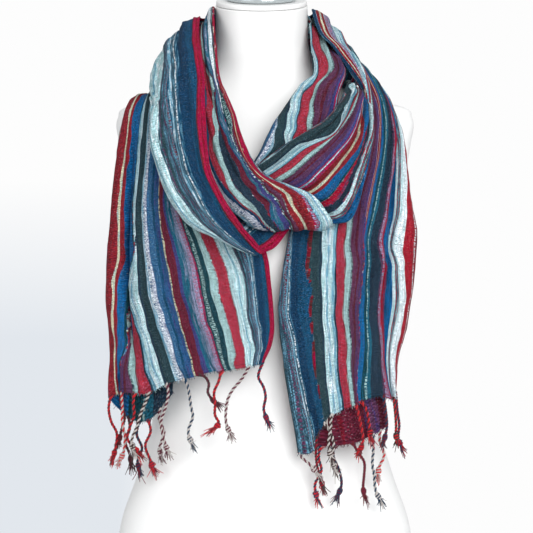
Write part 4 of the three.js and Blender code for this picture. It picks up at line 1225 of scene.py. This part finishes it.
class Tree:
    """A material's nodes, made one by one with their inputs."""

    def __init__(self, name):
        self.material = bpy.data.materials.new(name)
        self.material.use_nodes = True
        self.nodes = self.material.node_tree.nodes
        self.links = self.material.node_tree.links
        self.nodes.clear()

    def add(self, kind, inputs=None, **settings):
        node = self.nodes.new(kind)
        for key, value in settings.items():
            setattr(node, key, value)
        for key, value in (inputs or {}).items():
            if isinstance(value, bpy.types.NodeSocket):
                self.links.new(value, node.inputs[key])
            else:
                node.inputs[key].default_value = value
        return node

    def math(self, operation, first, second=None):
        inputs = {0: first} if second is None else {0: first, 1: second}
        return self.add("ShaderNodeMath", inputs, operation=operation).outputs[0]

    def mix(self, share, first, second, blend="MIX"):
        node = self.add("ShaderNodeMix", data_type="RGBA", blend_type=blend)
        for socket, value in ((0, share), (6, first), (7, second)):
            if isinstance(value, bpy.types.NodeSocket):
                self.links.new(value, node.inputs[socket])
            else:
                node.inputs[socket].default_value = value
        return node.outputs[2]

    def blend(self, share, first, second):
        """A number between two others."""
        node = self.add("ShaderNodeMix", data_type="FLOAT")
        for socket, value in ((0, share), (2, first), (3, second)):
            self.links.new(value, node.inputs[socket])
        return node.outputs[0]

    def noise(self, place, scale, detail=2.0):
        """Noise at a place that is stretched by a scale for each axis."""
        moved = self.add(
            "ShaderNodeVectorMath", {0: place, 1: scale}, operation="MULTIPLY"
        ).outputs[0]
        texture = self.add(
            "ShaderNodeTexNoise", {"Vector": moved, "Scale": 1.0, "Detail": detail}
        )
        return texture.outputs["Fac"]

    def range(self, value, low, high, to_low, to_high):
        return self.add(
            "ShaderNodeMapRange",
            {0: value, 1: low, 2: high, 3: to_low, 4: to_high},
        ).outputs[0]

    def pattern(self, place, scale, octaves, span, gives):
        """Noise over a span, turned into what it gives."""
        return self.range(self.noise(place, scale, octaves), *span, *gives)

    def shaded(self, colour, amount):
        """A colour made darker or lighter by a number."""
        grey = self.add("ShaderNodeCombineXYZ", {0: amount, 1: amount, 2: amount}).outputs[0]
        return self.mix(1.0, colour, grey, "MULTIPLY")

    def bump(self, height, strength, distance):
        inputs = {"Height": height, "Strength": strength, "Distance": distance * MM}
        return self.add("ShaderNodeBump", inputs).outputs[0]

    def shader(self, **inputs):
        node = self.add("ShaderNodeBsdfPrincipled")
        for key, value in inputs.items():
            socket = node.inputs[key.replace("_", " ")]
            if isinstance(value, bpy.types.NodeSocket):
                self.links.new(value, socket)
            else:
                socket.default_value = value
        output = self.add("ShaderNodeOutputMaterial")
        self.links.new(node.outputs[0], output.inputs[0])
        return self.material


def stripe_ramps(tree, across, column):
    """The yarn at a woven millimetre, from ramps that each hold a part of the chart."""
    colour = kind = None
    for start in range(0, len(STRIPES), RAMP_ROWS):
        rows = STRIPES[start : start + RAMP_ROWS]
        low = rows[0][0]
        after = start + RAMP_ROWS
        high = STRIPES[after][0] if after < len(STRIPES) else CLOTH_WIDTH
        ramp = tree.add("ShaderNodeValToRGB")
        ramp.color_ramp.interpolation = "CONSTANT"
        elements = ramp.color_ramp.elements
        elements.remove(elements[1])
        for k, row in enumerate(rows):
            place = (row[0] - low) / (high - low)
            element = elements[0] if k == 0 else elements.new(place)
            element.position = place
            element.color = linear(YARNS[row[column]])[:3] + [row[3]]
        tree.links.new(tree.range(across, low, high, 0, 1), ramp.inputs[0])
        here, lies = ramp.outputs["Color"], ramp.outputs["Alpha"]
        if colour is None:
            colour, kind = here, lies
        else:
            beyond = tree.math("GREATER_THAN", across, low)
            colour = tree.mix(beyond, colour, here)
            kind = tree.blend(beyond, kind, lies)
    return colour, kind


def cloth_material():
    """Striped cotton: uneven warp threads, dotted lines, a fine crosswise weft."""
    tree = Tree("striped_cotton")
    place = tree.add("ShaderNodeAttribute", attribute_name="cloth").outputs["Vector"]
    axes = tree.add("ShaderNodeSeparateXYZ", {0: place})
    of = {name: tree.pattern(place, *pattern) for name, pattern in PATTERNS.items()}
    across = tree.math("ADD", tree.math("ADD", axes.outputs[0], of["sway"]), of["ragged"])
    warp, kind = stripe_ramps(tree, across, 1)
    between, _ = stripe_ramps(tree, across, 2)
    fine = tree.math("MULTIPLY", of["lines"], of["broken"])
    shown = tree.blend(tree.range(kind, FLECKS, LINES, 0, 1), of["flecks"], fine)
    shown = tree.blend(tree.range(kind, LINES, DOTS, 0, 1), shown, of["dots"])
    colour = tree.mix(shown, warp, between)
    warp_wave = tree.math("SINE", tree.math("MULTIPLY", across, WARP_WAVE))
    weft_wave = tree.math("SINE", tree.math("MULTIPLY", axes.outputs[1], WEFT_WAVE))
    check = tree.range(tree.math("MULTIPLY", warp_wave, weft_wave), -0.8, 0.8, 0.66, 1.24)
    weave = tree.math("MULTIPLY", check, of["uneven"])
    streaks = tree.math("MULTIPLY", of["threads"], of["bands"])
    shade = tree.math("MULTIPLY", streaks, tree.math("MULTIPLY", weave, of["weft"]))
    colour = tree.mix(of["specks"], tree.shaded(colour, shade), linear(YARNS["white"]))
    crinkle = tree.noise(place, (0.34, 0.16, 0), 3)
    thread_height = tree.noise(place, (1.6, 0.4, 0), 1)
    height = tree.math("ADD", tree.math("MULTIPLY", crinkle, 1.8), thread_height)
    bump = tree.bump(height, 0.6, 0.7)
    return tree.shader(
        Base_Color=colour, Roughness=0.94, Specular_IOR_Level=0.06, Sheen_Weight=0.03,
        Sheen_Roughness=0.5, Normal=bump,
    )


def yarn_material():
    """Twisted cotton: each ply's own colour, with fibres along it."""
    tree = Tree("twisted_yarn")
    colour = tree.add("ShaderNodeAttribute", attribute_name="yarn").outputs["Color"]
    place = tree.add("ShaderNodeTexCoord").outputs["Object"]
    fibres = tree.pattern(place, (1500, 1500, 500), 2, NOISE_SPAN, (0.7, 1.25))
    colour = tree.shaded(colour, fibres)
    bump = tree.bump(fibres, 0.5, 0.3)
    return tree.shader(
        Base_Color=colour, Roughness=0.92, Specular_IOR_Level=0.15, Sheen_Weight=0.15,
        Sheen_Roughness=0.5, Normal=bump,
    )


def shell_material():
    """The form's painted shell: matt white with a faint orange-peel."""
    tree = Tree("form_white")
    place = tree.add("ShaderNodeTexCoord").outputs["Object"]
    grime = tree.pattern(place, (9, 9, 5), 3, NOISE_SPAN, (0.97, 1.0))
    colour = tree.shaded(linear((243, 243, 242)), grime)
    rough = tree.pattern(place, (60, 60, 60), 2, NOISE_SPAN, (0.42, 0.55))
    peel = tree.noise(place, (420, 420, 420), 1)
    bump = tree.bump(peel, 0.08, 0.3)
    return tree.shader(Base_Color=colour, Roughness=rough, Normal=bump)


def knob_material():
    """The cap's gloss: pale grey lacquer with a few fine scratches."""
    tree = Tree("cap_gloss")
    place = tree.add("ShaderNodeTexCoord").outputs["Object"]
    tone = tree.noise(place, (14, 14, 14), 2)
    colour = tree.mix(tone, linear((168, 176, 178)), linear((196, 202, 204)))
    rough = tree.pattern(place, (300, 20, 20), 3, NOISE_SPAN, (0.1, 0.22))
    return tree.shader(Base_Color=colour, Roughness=rough, Metallic=0.35)


# The form, finer than its solids


def ring_points(row, sides, scale=1.0):
    """One level of the form, as points round it."""
    z, middle, half, front, back, square, tilt = row
    angles = np.linspace(0, 2 * math.pi, sides, endpoint=False)
    cos, sin = np.cos(angles), np.sin(angles)
    depth = np.where(sin < 0, -front, back)
    x = middle + scale * half * np.sign(cos) * np.abs(cos) ** (2 / square)
    y = scale * depth * np.sign(sin) * np.abs(sin) ** (2 / square)
    return np.stack([x, y, z + tilt * y], axis=1)


def stack_mesh(name, rings, material):
    """A closed skin over rings of points, with a flat fan at both ends."""
    sides = len(rings[0])
    points = np.concatenate(rings)
    faces = []
    for k in range(len(rings) - 1):
        for i in range(sides):
            a, b = k * sides + i, k * sides + (i + 1) % sides
            faces.append((a, b, b + sides, a + sides))
    faces.append(tuple(range(sides - 1, -1, -1)))
    last = (len(rings) - 1) * sides
    faces.append(tuple(range(last, last + sides)))
    mesh = bpy.data.meshes.new(name)
    mesh.from_pydata([tuple(p) for p in points * MM], [], faces)
    for polygon in mesh.polygons[:-2]:
        polygon.use_smooth = True
    mesh.materials.append(material)
    return add_object(name, mesh)


def stand_for(piece, node):
    """A piece takes a node's place: it hangs from the root, and the node's own solid is hidden.
    """
    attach(piece, "root")
    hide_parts(node)


def torso_rings():
    heights = np.concatenate([np.linspace(*level) for level in FORM_LEVELS])
    rows = hermite(FORM_HEIGHTS, [row[1:] for row in FORM], heights)
    return [ring_points([z, *row], FORM_SIDES) for z, row in zip(heights, rows)]


def plate_rings():
    return [
        ring_points([NECK[0] + lift, *NECK[1:]], FORM_SIDES, scale)
        for lift, scale in PLATE_LEVELS
    ]


def knob_rings():
    """The knob's levels, tilted as the neck's end is."""
    tilt = math.atan(NECK[6])
    centre = np.array([NECK[1], (NECK[3] + NECK[4]) / 2, NECK[0] + 2 * PART_GAP + PLATE])
    centre[2] += NECK[6] * centre[1]
    rings = []
    for radius, height in KNOB_PROFILE:
        angles = np.linspace(0, 2 * math.pi, FORM_SIDES, endpoint=False)
        x = radius * KNOB_RADIUS * np.cos(angles)
        y = radius * KNOB_RADIUS * np.sin(angles)
        z = np.full(FORM_SIDES, height * KNOB_HEIGHT)
        turned_y = y * math.cos(tilt) - z * math.sin(tilt)
        turned_z = y * math.sin(tilt) + z * math.cos(tilt)
        rings.append(np.stack([x, turned_y, turned_z], axis=1) + centre)
    return rings


def make_form(shell, gloss):
    stand_for(stack_mesh("form_shell", torso_rings(), shell), "form_torso")
    stand_for(stack_mesh("form_plate", plate_rings(), shell), "form_neck_cap")
    stand_for(stack_mesh("form_knob", knob_rings(), gloss), "form_cap_knob")


def make_cloth(material):
    """All the stretches of the scarf, by name, with the grids that they were made on."""
    made = {}
    for number, (side, stretches) in enumerate(CHAINS):
        for name, grids in drape(side, stretches, 10 * number).items():
            piece = wall_mesh(name + "_cloth", *grids, CLOTH_THICKNESS, material)
            stand_for(piece, name)
            made[name] = (piece, grids)
    return made


def smooth_line(points, step):
    """Points at even steps on a smooth line through a few."""
    points = np.array(points, float)
    knots = np.concatenate([[0], np.cumsum(np.linalg.norm(np.diff(points, axis=0), axis=1))])
    return hermite(knots, points, np.arange(0, knots[-1], step))


def line_frames(line):
    """The way along a line at each point, and two ways square to it."""
    along = unit(np.gradient(line, axis=0))
    side = unit(np.cross(along, [0, -1, 0.05]))
    return along, side, np.cross(along, side)


class Yarns:
    """Many thin tubes in one mesh, each with its colour."""

    def __init__(self):
        self.points, self.faces, self.colours, self.count = [], [], [], 0

    def tube(self, line, radii, colour, sides=6):
        _, side, other = line_frames(line)
        angles = np.linspace(0, 2 * math.pi, sides, endpoint=False)
        ring = (
            side[:, None] * np.cos(angles)[None, :, None]
            + other[:, None] * np.sin(angles)[None, :, None]
        )
        radii = np.broadcast_to(radii, len(line))
        points = line[:, None] + ring * radii[:, None, None]
        number = self.count + np.arange(len(line) * sides).reshape(len(line), sides)
        turned = np.roll(number, -1, axis=1)
        self.faces.append(
            np.stack(
                [number[:-1], number[1:], turned[1:], turned[:-1]], axis=-1
            ).reshape(-1, 4)
        )
        self.points.append(points.reshape(-1, 3))
        self.colours.append(np.tile(linear(colour), (len(line) * sides, 1)))
        self.count += len(line) * sides

    def piece(self, name, material):
        points, faces = np.concatenate(self.points), np.concatenate(self.faces)
        colours = np.concatenate(self.colours)
        return quad_piece(
            name, points, faces, material, "yarn", "FLOAT_COLOR", "POINT", "color", colours
        )


def twisted_strand(yarns, points, plies, chance):
    """Two plies round each other, a knot, and frayed ends below it."""
    line = smooth_line(points, STRAND_STEP)
    along, side, other = line_frames(line)
    knot = int(len(line) * KNOT_SHARE)
    travelled = np.arange(len(line)) * STRAND_STEP
    for number, ply in enumerate(plies):
        turn = 2 * math.pi * (travelled / TWIST_PITCH + number / len(plies))
        coil = side * np.cos(turn)[:, None] + other * np.sin(turn)[:, None]
        yarns.tube((line + coil * PLY_OFFSET)[: knot + 1], PLY_RADIUS, YARNS[ply])
        share = np.linspace(0, 1, KNOT_STEPS)
        turn = 2 * math.pi * (KNOT_TURNS * share + number / len(plies))
        height = (share - 0.5) * KNOT_LENGTH
        swell = KNOT_RADIUS * (0.62 + 0.38 * np.sin(math.pi * share))
        wound = (
            line[knot]
            + along[knot] * height[:, None]
            + side[knot] * (swell * np.cos(turn))[:, None]
            + other[knot] * (swell * np.sin(turn))[:, None]
        )
        yarns.tube(wound, PLY_RADIUS * 1.25, YARNS[ply])
        for _ in range(TAIL_HAIRS):
            reach = chance.uniform(*HAIR_REACH)
            lean = chance.normal(0, 0.2, 3)
            bow = chance.normal(0, 1.8, 3)
            steps = np.linspace(0, 1, len(HAIR_RADII))[:, None]
            start = line[knot] + along[knot] * KNOT_LENGTH * 0.3 + chance.normal(0, 0.7, 3)
            hair = start + (along[knot] + lean) * reach * steps + bow * steps**2
            yarns.tube(hair, HAIR_RADII, YARNS[ply], 4)
        for _ in range(TAIL_LOOPS):
            middle = line[knot] + chance.normal(0, 1.1, 3)
            turn = np.linspace(0, 2 * math.pi, 9)[:, None]
            first, second = unit(chance.normal(0, 1, (2, 3)))
            loop = middle + (first * np.cos(turn) + second * np.sin(turn)) * LOOP_RADIUS
            yarns.tube(loop, LOOP_THICKNESS, YARNS[ply], 5)


def make_fringe(name, end, strands, cloth, cloth_look, yarn_look, seed):
    """A fringe: strands on a narrow strip that carries the cloth's stripes on."""
    _, (points, shows, along) = cloth[end]
    chance = np.random.default_rng(seed)
    edge, above = points[:, -1], points[:, -3]
    down = unit(edge - above)
    sideways = unit(np.gradient(edge, axis=0))
    square = unit(down - sideways * np.sum(down * sideways, axis=1, keepdims=True))
    away = unit(square + down)
    strip_points = edge[:, None] + away[:, None] * HEM_ROWS[None, :, None]
    strip_shows = np.repeat(shows[:, -1:], len(HEM_ROWS), axis=1)
    strip_along = along[:, -1:] + HEM_ROWS[None]
    strip = wall_mesh(
        name + "_hem", strip_points, strip_shows, strip_along, HEM_THICKNESS, cloth_look
    )
    yarns = Yarns()
    arcs = np.linspace(0, STRETCHES[end]["shapes"][-1][1][-1][0], len(edge))

    def on_hem(arc, drop):
        root = [np.interp(arc, arcs, edge[:, c]) for c in range(3)]
        way = [np.interp(arc, arcs, away[:, c]) for c in range(3)]
        return np.array(root) + np.array(way) * drop

    for arc, plies, *bends in strands:
        root = on_hem(arc, STRAND_ROOT)
        line = [root] + [root + np.array(bend, float) for bend in bends]
        twisted_strand(yarns, line, plies, chance)
        gather = smooth_line(line, STRAND_STEP)[GATHER_AT_STEP]
        for spread in GATHER_SPREADS:
            start = on_hem(np.clip(arc + spread, 1, arcs[-1] - 1), GATHER_ROOT)
            steps = np.linspace(0, 1, 6)[:, None]
            thread = start + (gather - start) * steps
            yarns.tube(thread, GATHER_RADIUS, YARNS[plies[int(spread > 0)]], 4)
    for arc in np.arange(1, arcs[-1], LOOSE_STEP):
        place = arc + chance.uniform(-LOOSE_JITTER, LOOSE_JITTER)
        on_cloth = np.clip(place, 0.5, arcs[-1] - 0.5)
        start = on_hem(on_cloth, LOOSE_ROOT)
        end_point = on_hem(on_cloth, LOOSE_ROOT + chance.uniform(*LOOSE_REACH))
        end_point = end_point + chance.normal(0, 0.9, 3) * [1, 0.4, 0.3]
        steps = np.linspace(0, 1, len(LOOSE_RADII))[:, None]
        woven = np.interp(place, arcs, shows[:, -1])
        row = max((r for r in STRIPES if r[0] <= max(woven, 0)), key=lambda r: r[0])
        colour = YARNS[row[1 + int(chance.random() < 0.4)]]
        yarns.tube(start + (end_point - start) * steps, LOOSE_RADII, colour, 4)
    cords = yarns.piece(name + "_cords", yarn_look)
    stand_for(cords, name)
    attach(strip, "root")
    return [strip, cords]


def make_surround():
    """A glowing white room that only the camera sees, with a painted bluish shadow low on the
    left.
    """
    tree = Tree("surround_white")
    place = tree.add("ShaderNodeTexCoord").outputs["Object"]
    axes = tree.add("ShaderNodeSeparateXYZ", {0: place})
    # Painted shadow: the backdrop's glowing colour turns bluish grey towards the lower left
    left = tree.range(axes.outputs[0], -0.62, -0.2, 1, 0)
    low = tree.range(axes.outputs[2], 0.75, 0.1, 0, 1)
    painted_shadow = tree.math("MULTIPLY", left, low)
    colour = tree.mix(painted_shadow, linear((253, 253, 253)), linear((226, 231, 237)))
    glow = tree.add("ShaderNodeEmission", {"Color": colour, "Strength": 1.0})
    output = tree.add("ShaderNodeOutputMaterial")
    tree.links.new(glow.outputs[0], output.inputs[0])
    mesh = bpy.data.meshes.new("surround")
    form = bmesh.new()
    bmesh.ops.create_uvsphere(form, u_segments=48, v_segments=24, radius=SURROUND_RADIUS)
    form.to_mesh(mesh)
    form.free()
    mesh.materials.append(tree.material)
    surround = add_object("surround", mesh)
    surround.visible_diffuse = False
    surround.visible_glossy = False
    surround.visible_shadow = False


def make_stage():
    """A pale floor, a glowing white surround with a painted shadow low on the left that only
    the camera sees, and soft light.
    """
    floor_mesh = bpy.data.meshes.new("floor")
    angles = np.linspace(0, 2 * math.pi, 96, endpoint=False)
    rim = [
        (FLOOR_RADIUS * math.cos(a), FLOOR_RADIUS * math.sin(a), -FLOOR_DROP) for a in angles
    ]
    floor_mesh.from_pydata(rim, [], [tuple(range(len(rim)))])
    tree = Tree("floor_pale")
    place = tree.add("ShaderNodeTexCoord").outputs["Object"]
    tone = tree.noise(place, (6, 6, 6), 2)
    colour = tree.mix(tone, linear((232, 233, 235)), linear((240, 241, 242)))
    floor_mesh.materials.append(tree.shader(Base_Color=colour, Roughness=0.7))
    add_object("floor", floor_mesh)

    world = bpy.data.worlds.new("studio")
    bpy.context.scene.world = world
    world.use_nodes = True
    background = world.node_tree.nodes["Background"]
    background.inputs[0].default_value = SKY
    background.inputs[1].default_value = AMBIENT
    make_surround()

    for name, place, size, power in LIGHTS:
        light = bpy.data.lights.new(name, "AREA")
        light.size = size
        light.energy = power
        lamp = add_object(name, light)
        lamp.location = place
        aim = Vector(LIGHTS_AIM) - Vector(place)
        lamp.rotation_euler = aim.to_track_quat("-Z", "Y").to_euler()


def make_camera():
    camera = bpy.data.cameras.new("camera")
    camera.lens = camera.sensor_width * FRAME_DISTANCE / FRAME_WIDTH
    holder = add_object("camera", camera)
    holder.location = CAMERA_PLACE
    holder.rotation_euler = (math.pi / 2, 0, 0)
    bpy.context.scene.camera = holder
    bpy.context.scene.view_settings.view_transform = "Standard"


make_camera()
make_stage()
make_form(shell_material(), knob_material())
cloth_look = cloth_material()
yarn_look = yarn_material()
cloth = make_cloth(cloth_look)
on_hems = {
    "left_end": make_fringe(
        "left_fringe", "left_end", LEFT_STRANDS, cloth, cloth_look, yarn_look, 3
    ),
    "right_end": make_fringe(
        "right_fringe", "right_end", RIGHT_STRANDS, cloth, cloth_look, yarn_look, 4
    ),
}
